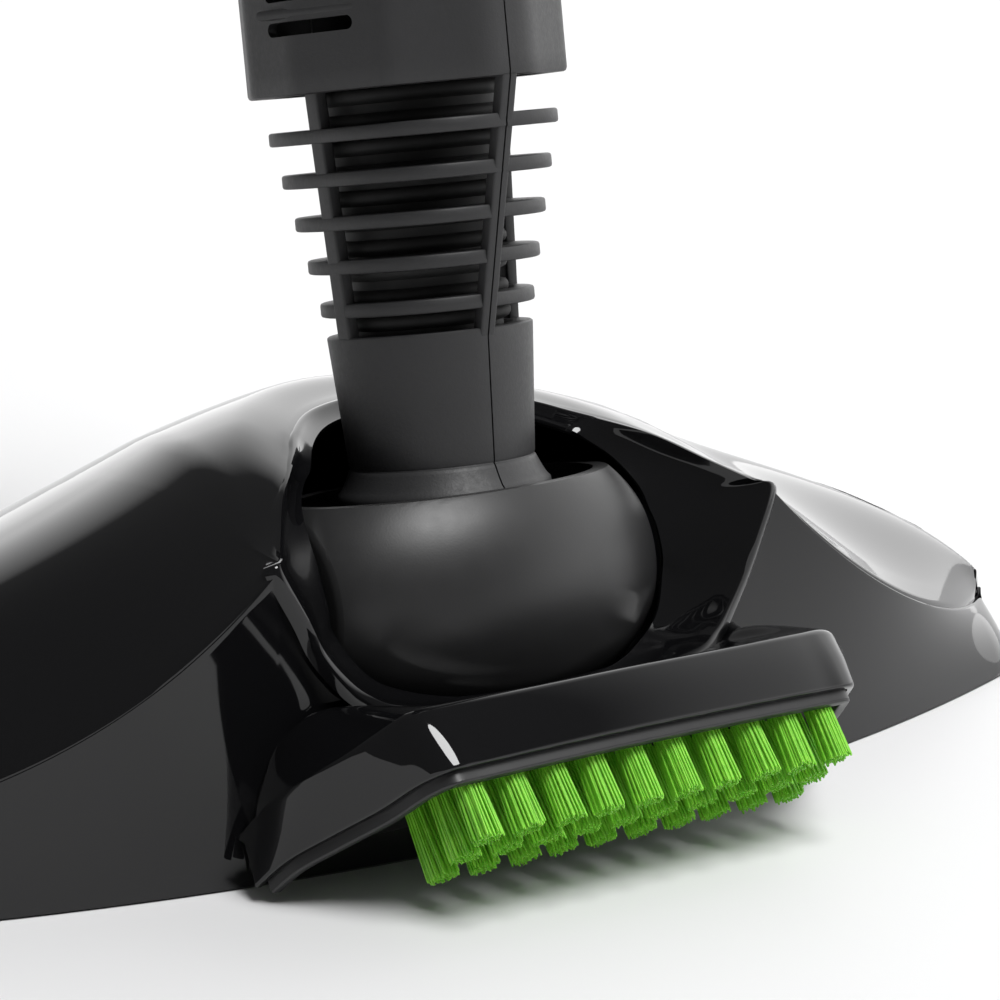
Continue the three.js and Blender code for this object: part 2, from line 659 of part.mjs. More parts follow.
function makeBodyShells() {
  const hollow = cut(bodySkin(WALL, WALL), common(bayWall(), bodySkin(0.01, 0.01)));
  const neckHole = loft([oval(21.5, 29.5, BODY_FOOT - 2, 2.8), oval(21.5, 29.5, BODY_FOOT + 5, 2.8)]);
  const flangeSeat = loft([
    oval(23 + GAP, 31 + GAP, BODY_FOOT + 2 - GAP, 2.8),
    oval(23 + GAP, 31 + GAP, BODY_FOOT + 6 + GAP, 2.8),
  ]);
  const tubeHole = rod('Z', TUBE_RADIUS + GAP, BODY_NECK - 12, BODY_NECK + 4, 24);
  const barSlots = [-1, 1].map((side) => block(0, side * 36, BODY_FOOT + 1.5, 7, 8, 5));
  const barSides = [-1, 1].map((side) => block(side * 21.4, 0, BODY_FOOT + 1.5, 4.4, 7, 5));
  const switchHole = block(0, -47, 366, 15, 30, 25);
  const dialHole = moved(rod('Y', 4.5, -70, -20, 16), 0, 0, 322);
  const lensHole = moved(rod('Y', 3 + GAP, -70, -20, 12), 0, 0, 292);
  const inletHole = moved(rod('Y', 7 + GAP, -70, -20, 16), 0, 0, 200);
  const hookHole = moved(rod('Y', 5 + GAP, -70, -20, 16), 0, 0, 242);
  const latchHole = block(0, 50, 222, 20.7, 30, 9.7);
  const whole = cut(
    bodySkin(0, 0), hollow, tankBay(), neckHole, flangeSeat, tubeHole, ...barSlots, ...barSides,
    ...louvres(), switchHole, dialHole, lensHole, inletHole, hookHole, latchHole,
  );
  piece('body_shell_left', half(whole, -1), grained, mast);
  piece('body_shell_right', half(whole, 1), grained, mast);
}

function makeInternals() {
  const boiler = join(
    turned([[0, 140], [16, 140], [20, 146], [20, 216], [16, 222], [0, 222]], 24),
    rod('Z', 4, 221, 230, 12),
  );
  piece('boiler', cut(boiler, rod('Z', 2.4, 136, 144, 12)), steel, mast);
  const pump = join(
    moved(rod('Z', 12, 238, 292, 20), 0, -22, 0),
    moved(rod('Z', 5, 291, 304, 12), 0, -22, 0),
  );
  piece('pump', pump, brass, mast);
  piece('pump_coil', cut(
    block(0, -22, 266, 30, 30, 26),
    moved(rod('Z', 12 + GAP, 250, 282, 20), 0, -22, 0),
  ), board, mast);
  piece('control_board', block(30, -22, 330, 2, 26, 60), board, mast);
  piece('water_hose', hose([[0, -22, 304.5], [0, -21, 312], [0, -10, 316], [0, 0, 312],
    [0, 4, 306]], 3, 8), clear, mast);
}

function makeTank() {
  const neck = moved(rod('Z', 13, TANK.high - 3, TANK.high + 8, 24), 0, TANK.y + 4, 0);
  const mouth = moved(rod('Z', 11, TANK.high - 6, TANK.high + 12, 24), 0, TANK.y + 4, 0);
  const outlet = moved(rod('Z', 5, TANK.low - 1, TANK.low + 6, 16), 0, TANK.y - 10, 0);
  const drain = moved(rod('Z', 3, TANK.low - 3, TANK.low + 9, 12), 0, TANK.y - 10, 0);
  const shell = cut(join(tankSkin(0), neck, outlet), tankSkin(2), mouth, drain);
  piece('water_tank', shell, clear, mast);
  const cap = cut(
    join(
      moved(rod('Z', 16, TANK.high + 1.2, TANK.high + 11, 24), 0, TANK.y + 4, 0),
      block(0, TANK.y + 4, TANK.high + 12.5, 26, 5, 6),
    ),
    moved(rod('Z', 13 + GAP, TANK.high - 2, TANK.high + 8 + GAP, 24), 0, TANK.y + 4, 0),
  );
  piece('tank_cap', cap, green, mast);
}


function makeControls() {
  const rocker = block(0, 0, 0, 13, 6, 21).rotateX(THREE.MathUtils.degToRad(-7));
  piece('power_switch', moved(rocker, 0, -43.5, 366), green, mast);
  const dial = join(rod('Y', 13, -56, -47, 24), rod('Y', 4, -48, -38, 16),
    block(0, -57, 0, 3, 3, 22));
  piece('steam_dial', moved(dial, 0, 0, 322), grained, mast);
  piece('indicator_lens', moved(rod('Y', 3, -47.5, -41, 16), 0, 0, 292), green, mast);
  const gland = join(rod('Y', 7, -52, -38, 16), rod('Y', 9.5, -55, -49, 16, 8));
  piece('cord_inlet', moved(cut(gland, rod('Y', 3.5, -58, -44, 12)), 0, 0, 200), rubber, mast);
  piece('tank_latch', join(block(0, 43, 222, 20, 14, 9), block(0, 51, 222, 16, 3, 6)), green, mast);
}

// Cord hook: a round foot with an arm that turns up or down
function makeHook(name, height, flip, back, root) {
  const foot = rod('Y', 5, back - 5, back + root, 16);
  const disc = rod('Y', 9, back - 5, back - 0.6, 20);
  const arm = block(0, back - 13, flip * 3, 10, 18, 5);
  const lip = block(0, back - 20, flip * 13, 14, 4.5, 22);
  piece(name, moved(join(foot, disc, arm, lip), 0, 0, height), satin, mast);
}

// ---------------------------------------------------------------- handle
function makeHandle() {
  const lower = turned([[9.5, 420], [TUBE_RADIUS, 420], [TUBE_RADIUS, TUBE_JOINT],
    [9.5, TUBE_JOINT], [9.5, 420]], 24);
  const buttonHole = moved(rod('Y', 4 + GAP, -30, 0, 12), 0, 0, TUBE_JOINT - 18);
  piece('handle_tube_lower', cut(lower, buttonHole), steel, mast);
  const upper = join(
    turned([[7, TUBE_JOINT + GAP], [TUBE_RADIUS, TUBE_JOINT + GAP], [TUBE_RADIUS, TUBE_TOP],
      [7, TUBE_TOP], [7, TUBE_JOINT + GAP]], 24),
    turned([[7, TUBE_JOINT - 60], [9.1, TUBE_JOINT - 60], [9.1, TUBE_JOINT + 4],
      [7, TUBE_JOINT + 4], [7, TUBE_JOINT - 60]], 24),
  );
  piece('handle_tube_upper', cut(upper, buttonHole), steel, mast);
  const button = rod('Y', 4, -15, -3, 12);
  piece('joint_button', moved(button, 0, 0, TUBE_JOINT - 18), green, mast);
  const collar = (low, high, inner, outer) => turned([[inner, low], [outer - 1.5, low],
    [outer, low + 3], [outer, high - 3], [outer - 1.5, high], [inner, high], [inner, low]], 28);
  piece('tube_collar', collar(TUBE_JOINT + 4, TUBE_JOINT + 34, TUBE_RADIUS + GAP, 15), satin, mast);
  piece('body_collar', collar(BODY_NECK + GAP, BODY_NECK + 22, TUBE_RADIUS + GAP, 18), satin, mast);
}

// Loop grip: outline and finger hole in the plane of Y and height
const GRIP_FOOT = 880;
const GRIP_HALF = 14;
const GRIP_OUTSIDE = [
  [-18, 920], [-24, 950], [-40, 985], [-51, 1020], [-48, 1052], [-28, 1071], [0, 1075],
  [26, 1064], [38, 1035], [35, 995], [24, 950], [18, 920],
];
const GRIP_HOLE = [
  [-22, 992], [-12, 972], [2, 968], [14, 992], [18, 1024], [10, 1046], [-8, 1051], [-25, 1040],
  [-29, 1018],
];

// Solid standing across the machine from an outline in the plane of Y and height
function acrossSolid(shape, halfWidth, bevel) {
  const solid = new THREE.ExtrudeGeometry(shape, {
    depth: 2 * (halfWidth - bevel),
    bevelEnabled: bevel > 0,
    bevelSize: bevel,
    bevelThickness: bevel,
    bevelOffset: -bevel,
    bevelSegments: 2,
    curveSegments: 3,
  });
  solid.translate(0, 0, bevel - halfWidth);
  return solid.applyMatrix4(new THREE.Matrix4().makeBasis(
    new THREE.Vector3(0, 1, 0), new THREE.Vector3(0, 0, 1), new THREE.Vector3(1, 0, 0),
  ));
}

function makeGrip() {
  const shape = new THREE.Shape();
  shape.moveTo(-16, GRIP_FOOT);
  shape.lineTo(...GRIP_OUTSIDE[0]);
  shape.splineThru(GRIP_OUTSIDE.slice(1).map((p) => new THREE.Vector2(...p)));
  shape.lineTo(16, GRIP_FOOT);
  const hole = new THREE.Path();
  hole.moveTo(...GRIP_HOLE[0]);
  hole.splineThru(GRIP_HOLE.slice(1).map((p) => new THREE.Vector2(...p)));
  shape.holes.push(hole);
  const loop = acrossSolid(shape, GRIP_HALF, 4);
  const ferrule = loft([
    oval(17, 17, GRIP_FOOT - 4, 2, 24),
    oval(18, 18, GRIP_FOOT + 18, 2, 24),
    oval(12, 16, GRIP_FOOT + 44, 2.4, 24),
  ]);
  const socket = rod('Z', TUBE_RADIUS + GAP, GRIP_FOOT - 8, TUBE_TOP + GAP, 24);
  const wireway = rod('Z', 5, GRIP_FOOT, 930, 12);
  const body = cut(join(loop, ferrule), socket, wireway);
  const padZone = (grow) => block(0, -62, 1018, 60, 2 * (20.5 + grow), 64 + 2 * grow);
  const triggerSlot = block(0, -25, 1010, 10 + 2 * GAP, 19, 39);
  const shells = cut(body, padZone(GAP), triggerSlot);
  piece('grip_shell_left', half(shells, -1), satin, mast);
  piece('grip_shell_right', half(shells, 1), satin, mast);
  piece('soft_grip', common(body, padZone(0)), rubber, mast);
  const lever = new THREE.Shape();
  lever.moveTo(-31, 1028);
  lever.lineTo(-22, 1029);
  lever.quadraticCurveTo(-14, 1008, -18, 993);
  lever.lineTo(-27, 992.5);
  lever.lineTo(-30, 1010);
  piece('steam_trigger', acrossSolid(lever, 5, 0), green, mast);
}

// ---------------------------------------------------------------- assembly
makeHead();
makeBarrelGroup();
makeNeck();
makeBodyShells();
makeInternals();
makeTank();
makeControls();
makeHandle();
makeHook('cord_hook_lower', 242, -1, -48, 9);
makeHook('cord_hook_upper', 850, 1, -14, 1.4);
makeGrip();

export default group;
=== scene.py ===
# Looks of the upright steam carpet cleaner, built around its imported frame.
# Lengths are in millimetres until a mesh is made; MM turns them into metres.
import json
import math
import random

import bmesh
import bpy
from mathutils import Matrix, Vector


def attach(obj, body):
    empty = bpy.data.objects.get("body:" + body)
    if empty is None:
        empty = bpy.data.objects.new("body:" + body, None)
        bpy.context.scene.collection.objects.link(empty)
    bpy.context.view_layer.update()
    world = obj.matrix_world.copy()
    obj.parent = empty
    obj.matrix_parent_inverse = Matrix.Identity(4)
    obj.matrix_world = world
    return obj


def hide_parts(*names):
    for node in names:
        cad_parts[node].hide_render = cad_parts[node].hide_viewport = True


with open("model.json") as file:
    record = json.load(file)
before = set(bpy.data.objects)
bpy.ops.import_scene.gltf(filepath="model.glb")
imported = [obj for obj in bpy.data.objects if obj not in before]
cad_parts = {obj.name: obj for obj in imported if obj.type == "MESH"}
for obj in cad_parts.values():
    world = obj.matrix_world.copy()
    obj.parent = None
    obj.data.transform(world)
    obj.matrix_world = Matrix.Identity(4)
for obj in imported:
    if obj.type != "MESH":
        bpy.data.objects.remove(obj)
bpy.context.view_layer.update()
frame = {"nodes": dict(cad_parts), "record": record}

# ------------------------------------------------------------------ sizes, as in the frame
MM = 0.001
HEAD_HALF = 163
HEAD_REAR = -91.5
HEAD_FRONT = 95
REAR_BOW = 0.00136
TIP_RADIUS = 16
TIP_Y = -42
EDGE_HEIGHT = 14
DOME_HEIGHT = 84.6
DOME_Y = -42
V_X = 57.5  # where deck, wall and cradle meet
SEAM_REAR = -89.7
SEAM_AT_V = 62.2
SWEEP = 0.22  # how much further out a place counts for each unit ahead of the seam
WALL = 2.4
SEAM_GAP = 0.45

PIVOT = Vector((0, -61, 45))
LEAN = math.radians(9)
BARREL_RADIUS = 31.2
BARREL_REACH = 45.5
BARREL_END = 38
BARREL_CUT = 19

SLEEVE_FOOT = 17.5
SLEEVE_WAIST = 23.7
SLEEVE_TOP = 50.3
FIRST_FIN = 55.6
FIN_PITCH = 8.55
FIN_COUNT = 5
FIN_THICKNESS = 2.8
BODY_FOOT = 98
BODY_TOP = 452
HALF_GAP = 0.17  # from the middle to each half of a split shell

SWITCH_Z, DIAL_Z, LENS_Z, INLET_Z, HOOK_Z, LATCH_Z = 366, 322, 292, 200, 242, 222
TUBE_FOOT, TUBE_JOINT, TUBE_TOP = 420, 690, 905
BUTTON_Z = TUBE_JOINT - 18
TUBE_RADIUS = 12
CLAMP_BORE = 12.3  # round the tube

MAST = Matrix.Translation(PIVOT) @ Matrix.Rotation(-LEAN, 4, "X")
IN_PLACE = Matrix.Identity(4)


# ------------------------------------------------------------------ materials
def new_material(name, color, roughness, metallic=0.0):
    material = bpy.data.materials.new(name)
    material.use_nodes = True
    shader = material.node_tree.nodes["Principled BSDF"]
    shader.inputs["Base Color"].default_value = (*color, 1)
    shader.inputs["Roughness"].default_value = roughness
    shader.inputs["Metallic"].default_value = metallic
    return material, material.node_tree, shader


def texture_space(tree):
    return tree.nodes.new("ShaderNodeTexCoord").outputs["Object"]


def noise(tree, scale, detail=2.0, rough=0.5):
    node = tree.nodes.new("ShaderNodeTexNoise")
    node.inputs["Scale"].default_value = scale
    node.inputs["Detail"].default_value = detail
    node.inputs["Roughness"].default_value = rough
    tree.links.new(texture_space(tree), node.inputs["Vector"])
    return node.outputs["Fac"]


def ramp(tree, value, low, high, from_low=0.0, from_high=1.0):
    node = tree.nodes.new("ShaderNodeMapRange")
    node.inputs["From Min"].default_value = from_low
    node.inputs["From Max"].default_value = from_high
    node.inputs["To Min"].default_value = low
    node.inputs["To Max"].default_value = high
    tree.links.new(value, node.inputs["Value"])
    return node.outputs["Result"]


def tint(tree, shader, value, dark, light):
    node = tree.nodes.new("ShaderNodeMix")
    node.data_type = "RGBA"
    node.inputs["A"].default_value = (*dark, 1)
    node.inputs["B"].default_value = (*light, 1)
    tree.links.new(value, node.inputs["Factor"])
    tree.links.new(node.outputs["Result"], shader.inputs["Base Color"])


def bump(tree, shader, value, strength, distance, under=None):
    node = tree.nodes.new("ShaderNodeBump")
    node.inputs["Strength"].default_value = strength
    node.inputs["Distance"].default_value = distance
    tree.links.new(value, node.inputs["Height"])
    if under:
        tree.links.new(under, node.inputs["Normal"])
    tree.links.new(node.outputs["Normal"], shader.inputs["Normal"])
    return node.outputs["Normal"]


def surface(name, color, roughness, metallic=0.0, tone=None, wear=None, grains=()):
    """Material whose noise patterns are (scale, detail, roughness).

    tone is (pattern, dark, light), wear is (pattern, least roughness, most roughness), and each of
    grains is (pattern, strength, distance).
    """
    material, tree, shader = new_material(name, color, roughness, metallic)
    if tone:
        tint(tree, shader, noise(tree, *tone[0]), *tone[1:])
    if wear:
        tree.links.new(ramp(tree, noise(tree, *wear[0]), *wear[1:]), shader.inputs["Roughness"])
    under = None
    for pattern, strength, distance in grains:
        under = bump(tree, shader, noise(tree, *pattern), strength, distance, under)
    return material


def gloss_black():
    return surface("gloss_black", (0.004, 0.004, 0.0045), 0.05,
                   wear=((28, 4, 0.6), 0.035, 0.075, 0.35, 0.7), grains=[((9, 1), 0.25, 0.0004)])


def satin_black():
    return surface("satin_black", (0.012, 0.012, 0.0125), 0.4,
                   tone=((60, 3), (0.016, 0.016, 0.0165), (0.022, 0.022, 0.0225)),
                   wear=((240, 3), 0.36, 0.46), grains=[((2600, 2), 0.12, 0.0001)])


def grained_black():
    return surface("grained_black", (0.02, 0.02, 0.021), 0.5,
                   tone=((45, 3), (0.017, 0.017, 0.018), (0.025, 0.025, 0.026)),
                   wear=((900, 2), 0.42, 0.6),
                   grains=[((1700, 2, 0.6), 0.3, 0.00012), ((4200, 1), 0.2, 0.00006)])


def rubber_black():
    return surface("rubber_black", (0.009, 0.009, 0.009), 0.7,
                   tone=((90, 3), (0.007, 0.007, 0.007), (0.013, 0.013, 0.013)),
                   wear=((300, 3), 0.6, 0.8), grains=[((3000, 2), 0.15, 0.0001)])


def bristle_green():
    material = surface("bristle_green", (0.12, 0.5, 0.02), 0.38,
                       tone=((420, 3, 0.7), (0.11, 0.44, 0.015), (0.34, 0.76, 0.07)),
                       grains=[((5000, 1), 0.1, 0.00005)])
    shader = material.node_tree.nodes["Principled BSDF"]
    shader.inputs["Subsurface Weight"].default_value = 0.25
    shader.inputs["Subsurface Radius"].default_value = (0.001, 0.003, 0.0005)
    return material


def accent_green():
    return surface("accent_green", (0.1, 0.42, 0.02), 0.3,
                   tone=((50, 2), (0.085, 0.38, 0.016), (0.12, 0.47, 0.026)),
                   wear=((200, 3), 0.25, 0.36), grains=[((1800, 1), 0.08, 0.0001)])


def steel():
    return surface("steel", (0.62, 0.62, 0.63), 0.28, 1.0,
                   tone=((120, 3), (0.56, 0.56, 0.57), (0.68, 0.68, 0.69)),
                   wear=((700, 4, 0.7), 0.2, 0.36), grains=[((1500, 2), 0.06, 0.0001)])


def brass():
    return surface("brass", (0.6, 0.42, 0.18), 0.3, 1.0,
                   tone=((90, 3), (0.52, 0.36, 0.15), (0.66, 0.48, 0.22)), wear=((500, 3), 0.24, 0.4))


def inner_grey():
    return surface("inner_grey", (0.09, 0.095, 0.1), 0.5,
                   tone=((70, 3), (0.08, 0.085, 0.09), (0.11, 0.115, 0.12)),
                   grains=[((1600, 2), 0.15, 0.0001)])


def tank_clear():
    material = surface("tank_clear", (0.32, 0.4, 0.42), 0.12,
                       tone=((30, 2), (0.3, 0.38, 0.4), (0.36, 0.44, 0.46)), wear=((160, 3), 0.08, 0.16))
    shader = material.node_tree.nodes["Principled BSDF"]
    shader.inputs["Transmission Weight"].default_value = 0.85
    shader.inputs["IOR"].default_value = 1.49
    return material


def board_green():
    return surface("board_green", (0.02, 0.12, 0.05), 0.4,
                   tone=((300, 4), (0.015, 0.1, 0.04), (0.04, 0.17, 0.08)),
                   grains=[((900, 3), 0.2, 0.0001)])


MATERIALS = {
    "gloss_black": gloss_black(),
    "satin_black": satin_black(),
    "grained_black": grained_black(),
    "rubber": rubber_black(),
    "bristle_green": bristle_green(),
    "accent_green": accent_green(),
    "steel": steel(),
    "brass": brass(),
    "inner_grey": inner_grey(),
    "tank_clear": tank_clear(),
    "board": board_green(),
    "lens": accent_green(),
}


# ------------------------------------------------------------------ mesh helpers
def solid(name, verts, faces, place, weld=False):
    """An object from vertices in millimetres."""
    mesh = bpy.data.meshes.new(name)
    mesh.from_pydata([(place @ Vector(v)) * MM for v in verts], [], faces)
    work = bmesh.new()
    work.from_mesh(mesh)
    if weld:
        bmesh.ops.remove_doubles(work, verts=work.verts, dist=1e-7)
    bmesh.ops.recalc_face_normals(work, faces=work.faces)
    work.to_mesh(mesh)
    work.free()
    piece = bpy.data.objects.new(name, mesh)
    bpy.context.scene.collection.objects.link(piece)
    return piece


def make(name, verts, faces, slot, body, nodes, place=IN_PLACE, sharp=35):
    """A piece that rides on a body and stands for CAD nodes."""
    piece = solid(name, verts, faces, place, weld=True)
    piece.data.materials.append(MATERIALS[slot])
    smooth(piece, sharp)
    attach(piece, body)
    if nodes:
        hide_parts(*nodes)
    return piece


def smooth(piece, sharp):
    piece.data.shade_smooth()
    piece.data.set_sharp_from_angle(angle=math.radians(sharp))


def loft(loops, ring=False, caps=True):
    """Vertices and faces of a skin through equal closed loops."""
    count = len(loops[0])
    verts = [tuple(p) for loop in loops for p in loop]
    faces = []
    spans = len(loops) if ring else len(loops) - 1
    for i in range(spans):
        here = i * count
        there = ((i + 1) % len(loops)) * count
        for j in range(count):
            k = (j + 1) % count
            faces.append((here + j, here + k, there + k, there + j))
    if caps and not ring:
        faces.append(tuple(range(count - 1, -1, -1)))
        faces.append(tuple((len(loops) - 1) * count + j for j in range(count)))
    return verts, faces


def added(*solids):
    """Several (vertices, faces) pairs as one."""
    verts, faces = [], []
    for more_verts, more_faces in solids:
        start = len(verts)
        verts.extend(more_verts)
        faces.extend(tuple(start + i for i in face) for face in more_faces)
    return verts, faces


def turned(profile, sides=96, axis="Z"):
    """Lathe of a closed [radius, height] profile. Points on the axis are kept just off it."""
    loops = []
    for i in range(sides):
        t = 2 * math.pi * i / sides
        c, s = math.cos(t), math.sin(t)
        if axis == "Z":
            loops.append([(r * c, r * s, h) for r, h in profile])
        elif axis == "X":
            loops.append([(h, r * c, r * s) for r, h in profile])
        else:
            loops.append([(r * c, h, r * s) for r, h in profile])
    return loft(loops, ring=True)


def shifted(shape, x=0, y=0, z=0):
    verts, faces = shape
    return [(v[0] + x, v[1] + y, v[2] + z) for v in verts], faces


def knurled(verts, across, count, depth, beyond):
    """Grooves round a turned part; across is 1 or 2, its second direction across the axis."""
    moved = []
    for v in verts:
        angle = math.atan2(v[across], v[0])
        reach = math.hypot(v[0], v[across])
        groove = depth * (0.5 + 0.5 * math.cos(count * angle)) if reach > beyond else 0
        point = [c * (reach - groove) / max(reach, 1e-6) for c in v]
        point[3 - across] = v[3 - across]
        moved.append(point)
    return moved


def oval(a, b, z, power=2.4, count=64, x=0, y=0):
    points = []
    for i in range(count):
        t = 2 * math.pi * i / count
        c, s = math.cos(t), math.sin(t)
        points.append((
            x + a * math.copysign(abs(c) ** (2 / power), c),
            y + b * math.copysign(abs(s) ** (2 / power), s),
            z,
        ))
    return points


def smoothstep(value, low, high):
    t = min(1, max(0, (value - low) / (high - low)))
    return t * t * (3 - 2 * t)


def spline(points, count, closed=False):
    """Catmull-Rom curve through points, at equal steps of its parameter."""
    pts = [Vector(p) for p in points]
    spans = len(pts) if closed else len(pts) - 1
    out = []
    steps = count if closed else count - 1
    for i in range(count):
        t = i / steps * spans
        k = min(int(t), spans - 1)
        f = t - k

        def at(n):
            return pts[n % len(pts)] if closed else pts[max(0, min(len(pts) - 1, n))]

        a, b, c, d = at(k - 1), at(k), at(k + 1), at(k + 2)
        out.append(0.5 * (
            2 * b + (c - a) * f + (2 * a - 5 * b + 4 * c - d) * f * f
            + (3 * b - a - 3 * c + d) * f ** 3
        ))
    return out


def evaluated(piece):
    """Applies the piece's modifiers."""
    graph = bpy.context.evaluated_depsgraph_get()
    graph.update()
    mesh = bpy.data.meshes.new_from_object(piece.evaluated_get(graph))
    old = piece.data
    piece.modifiers.clear()
    piece.data = mesh
    bpy.data.meshes.remove(old)


def helper(verts, faces, place=IN_PLACE):
    """A solid that shapes a piece and is then removed, or becomes a piece itself."""
    return solid("cutter", verts, faces, place)


def joined(piece, cutter, operation="DIFFERENCE"):
    """Adds, cuts or keeps the overlap of a helper solid, and removes the helper."""
    modifier = piece.modifiers.new("join", "BOOLEAN")
    modifier.operation = operation
    modifier.solver = "MANIFOLD"
    modifier.object = cutter
    evaluated(piece)
    mesh = cutter.data
    bpy.data.objects.remove(cutter)
    bpy.data.meshes.remove(mesh)


def carve(piece, *cutters, sharp=35):
    """Cuts solids out of a piece."""
    for cutter in cutters:
        joined(piece, cutter)
    smooth(piece, sharp)


def hollowed(piece, *solids):
    """Cuts solids placed on the mast out of a piece."""
    for verts, faces in solids:
        joined(piece, helper(verts, faces, place=MAST))


def adopt(piece, name, slot, body, node, sharp):
    """Makes a helper solid a piece of its own."""
    piece.name = name
    piece.data.materials.clear()
    piece.data.materials.append(MATERIALS[slot])
    smooth(piece, sharp)
    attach(piece, body)
    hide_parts(node)


def soften(piece, width, segments=3, angle=35, sharp=40):
    """Rounds the piece's hard edges."""
    modifier = piece.modifiers.new("round", "BEVEL")
    modifier.width = width * MM
    modifier.segments = segments
    modifier.limit_method = "ANGLE"
    modifier.angle_limit = math.radians(angle)
    modifier.harden_normals = False
    evaluated(piece)
    smooth(piece, sharp)


def brick(x, y, z, wide, deep, high):
    """Box as (vertices, faces)."""
    a, b, c = wide / 2, deep / 2, high / 2
    low = [(x - a, y - b, z - c), (x + a, y - b, z - c), (x + a, y + b, z - c), (x - a, y + b, z - c)]
    return loft([low, [(px, py, z + c) for px, py, _ in low]])


# ------------------------------------------------------------------ surfaces of the head
def rear_edge(x):
    past = max(0, abs(x) - (HEAD_HALF - TIP_RADIUS)) / TIP_RADIUS
    return HEAD_REAR + REAR_BOW * x * x + TIP_RADIUS * (1 - math.sqrt(max(0, 1 - past * past)))


def front_edge(x):
    across = min(1, abs(x) / HEAD_HALF)
    return TIP_Y + (HEAD_FRONT - TIP_Y) * (1 - across * across) ** 0.6


def seam_y(x):
    return SEAM_REAR + 0.0045 * max(0, abs(x) - 55) ** 2


def seam_z(out):
    if out < V_X:
        return 69.5 - 7.3 * (out / V_X) ** 4
    return SEAM_AT_V * math.exp(-(out - V_X) / 63.5)


def deck(x, y):
    """Height of the deck."""
    out = abs(x)
    ahead = y - seam_y(x)
    round_top = max(0, 1 - (math.hypot(out, 12) / HEAD_HALF) ** 1.27) ** 0.79
    middle = EDGE_HEIGHT + (DOME_HEIGHT - EDGE_HEIGHT) * round_top
    beyond = min(90, max(0, out - V_X + SWEEP * max(0, ahead)))
    middle -= 0.2 * beyond * (1 - beyond / 90) ** 2 * min(1, max(0, (40 - y) / 60))
    if y < DOME_Y:
        rise = math.sin(math.pi / 2 * min(1, max(0, ahead / (DOME_Y - seam_y(x)))))
        low = seam_z(out + SWEEP * max(0, ahead))
        return low + (middle - low) * rise
    fall = min(1, (y - DOME_Y) / max(1, front_edge(x) - DOME_Y))
    return EDGE_HEIGHT + (middle - EDGE_HEIGHT) * (1 - fall ** 2.06) ** 1.38


# Cradle: outer rim and inner lip, from the front round to the rear, right side
CRADLE = [
    ((0, -31.5, 77.5), (0, -35, 75)),
    ((16, -36, 77), (14.5, -39, 74.5)),
    ((27, -47, 75.6), (24.5, -48.5, 73)),
    ((33.3, -56.4, 73.6), (30.5, -57.5, 70.8)),
    ((42.2, -67.6, 70.8), (33.5, -59.5, 68.8)),
    ((49.4, -78, 66.3), (37, -64, 65.5)),
    ((54.5, -86, 63), (39, -70, 60.5)),
    ((57, -89.6, 61.5), (39.2, -73, 56.5)),
    ((52.3, -90.9, 51.9), (39.6, -75.3, 53.1)),
    ((49, -91, 45.2), (39.4, -77.6, 47.8)),
    ((45, -91.7, 39.8), (39, -78, 44)),
    ((40.9, -93.1, 35.9), (35.4, -81.4, 37.4)),
    ((35.2, -95.4, 33.3), (29.8, -83.4, 33)),
    ((20, -96.8, 31.4), (18, -88.8, 30.3)),
    ((0, -97.6, 30.6), (0, -91.2, 29.6)),
]


def flip(p):
    return (-p[0], p[1], p[2])


def all_round(rail):
    """A right-hand rail from front to rear, closed by its mirror image."""
    return list(rail) + [flip(p) for p in reversed(rail[1:-1])]


RIM_LINE = spline(all_round([rim for rim, _ in CRADLE]), 1120, closed=True)
V_INDEX = max(range(560), key=lambda i: RIM_LINE[i].x)
UPPER_RIM = RIM_LINE[:V_INDEX + 1]
LOWER_RIM = RIM_LINE[V_INDEX:561]


def along_rim(line, out):
    """Point of a rim line at a distance from the middle."""
    for a, b in zip(line, line[1:]):
        if min(a.x, b.x) <= out <= max(a.x, b.x):
            return a.lerp(b, (out - a.x) / ((b.x - a.x) or 1))
    return RIM_LINE[V_INDEX]


def covered(x, y):
    """Height of the cover: the deck, drawn to the cradle's rim where it meets it."""
    out = abs(x)
    rim = along_rim(UPPER_RIM, min(out, V_X - 0.4))
    lift = rim.z + 0.15 - deck(rim.x, rim.y)
    away = math.hypot(max(0, y - rim.y), max(0, out - V_X + 0.4) * 1.6)
    return deck(x, y) + lift * (1 - smoothstep(away, 0, 24)) - 0.05


# ------------------------------------------------------------------ floor head
def stations(count, reach):
    """Places across the head, closer together towards the wing tips and at the V junctions."""
    places = [reach * math.sin(math.pi / 2 * (2 * i / count - 1)) for i in range(count + 1)]
    places += [side * (V_X + step) for side in (-1, 1) for step in (-0.6, -0.2, 0.2, 0.6)]
    return sorted(places)


def rounded(a, b, c, radius, steps=3):
    """Points that round the corner b between a and c."""
    a, b, c = Vector(a), Vector(b), Vector(c)
    start = b + (a - b).normalized() * radius
    end = b + (c - b).normalized() * radius
    points = []
    for i in range(steps + 1):
        t = i / steps
        points.append((1 - t) ** 2 * start + 2 * t * (1 - t) * b + t * t * end)
    return points


def cover_start(x):
    if abs(x) < V_X - 0.4:
        return along_rim(UPPER_RIM, abs(x)).y + 0.45
    return seam_y(x) + 0.3


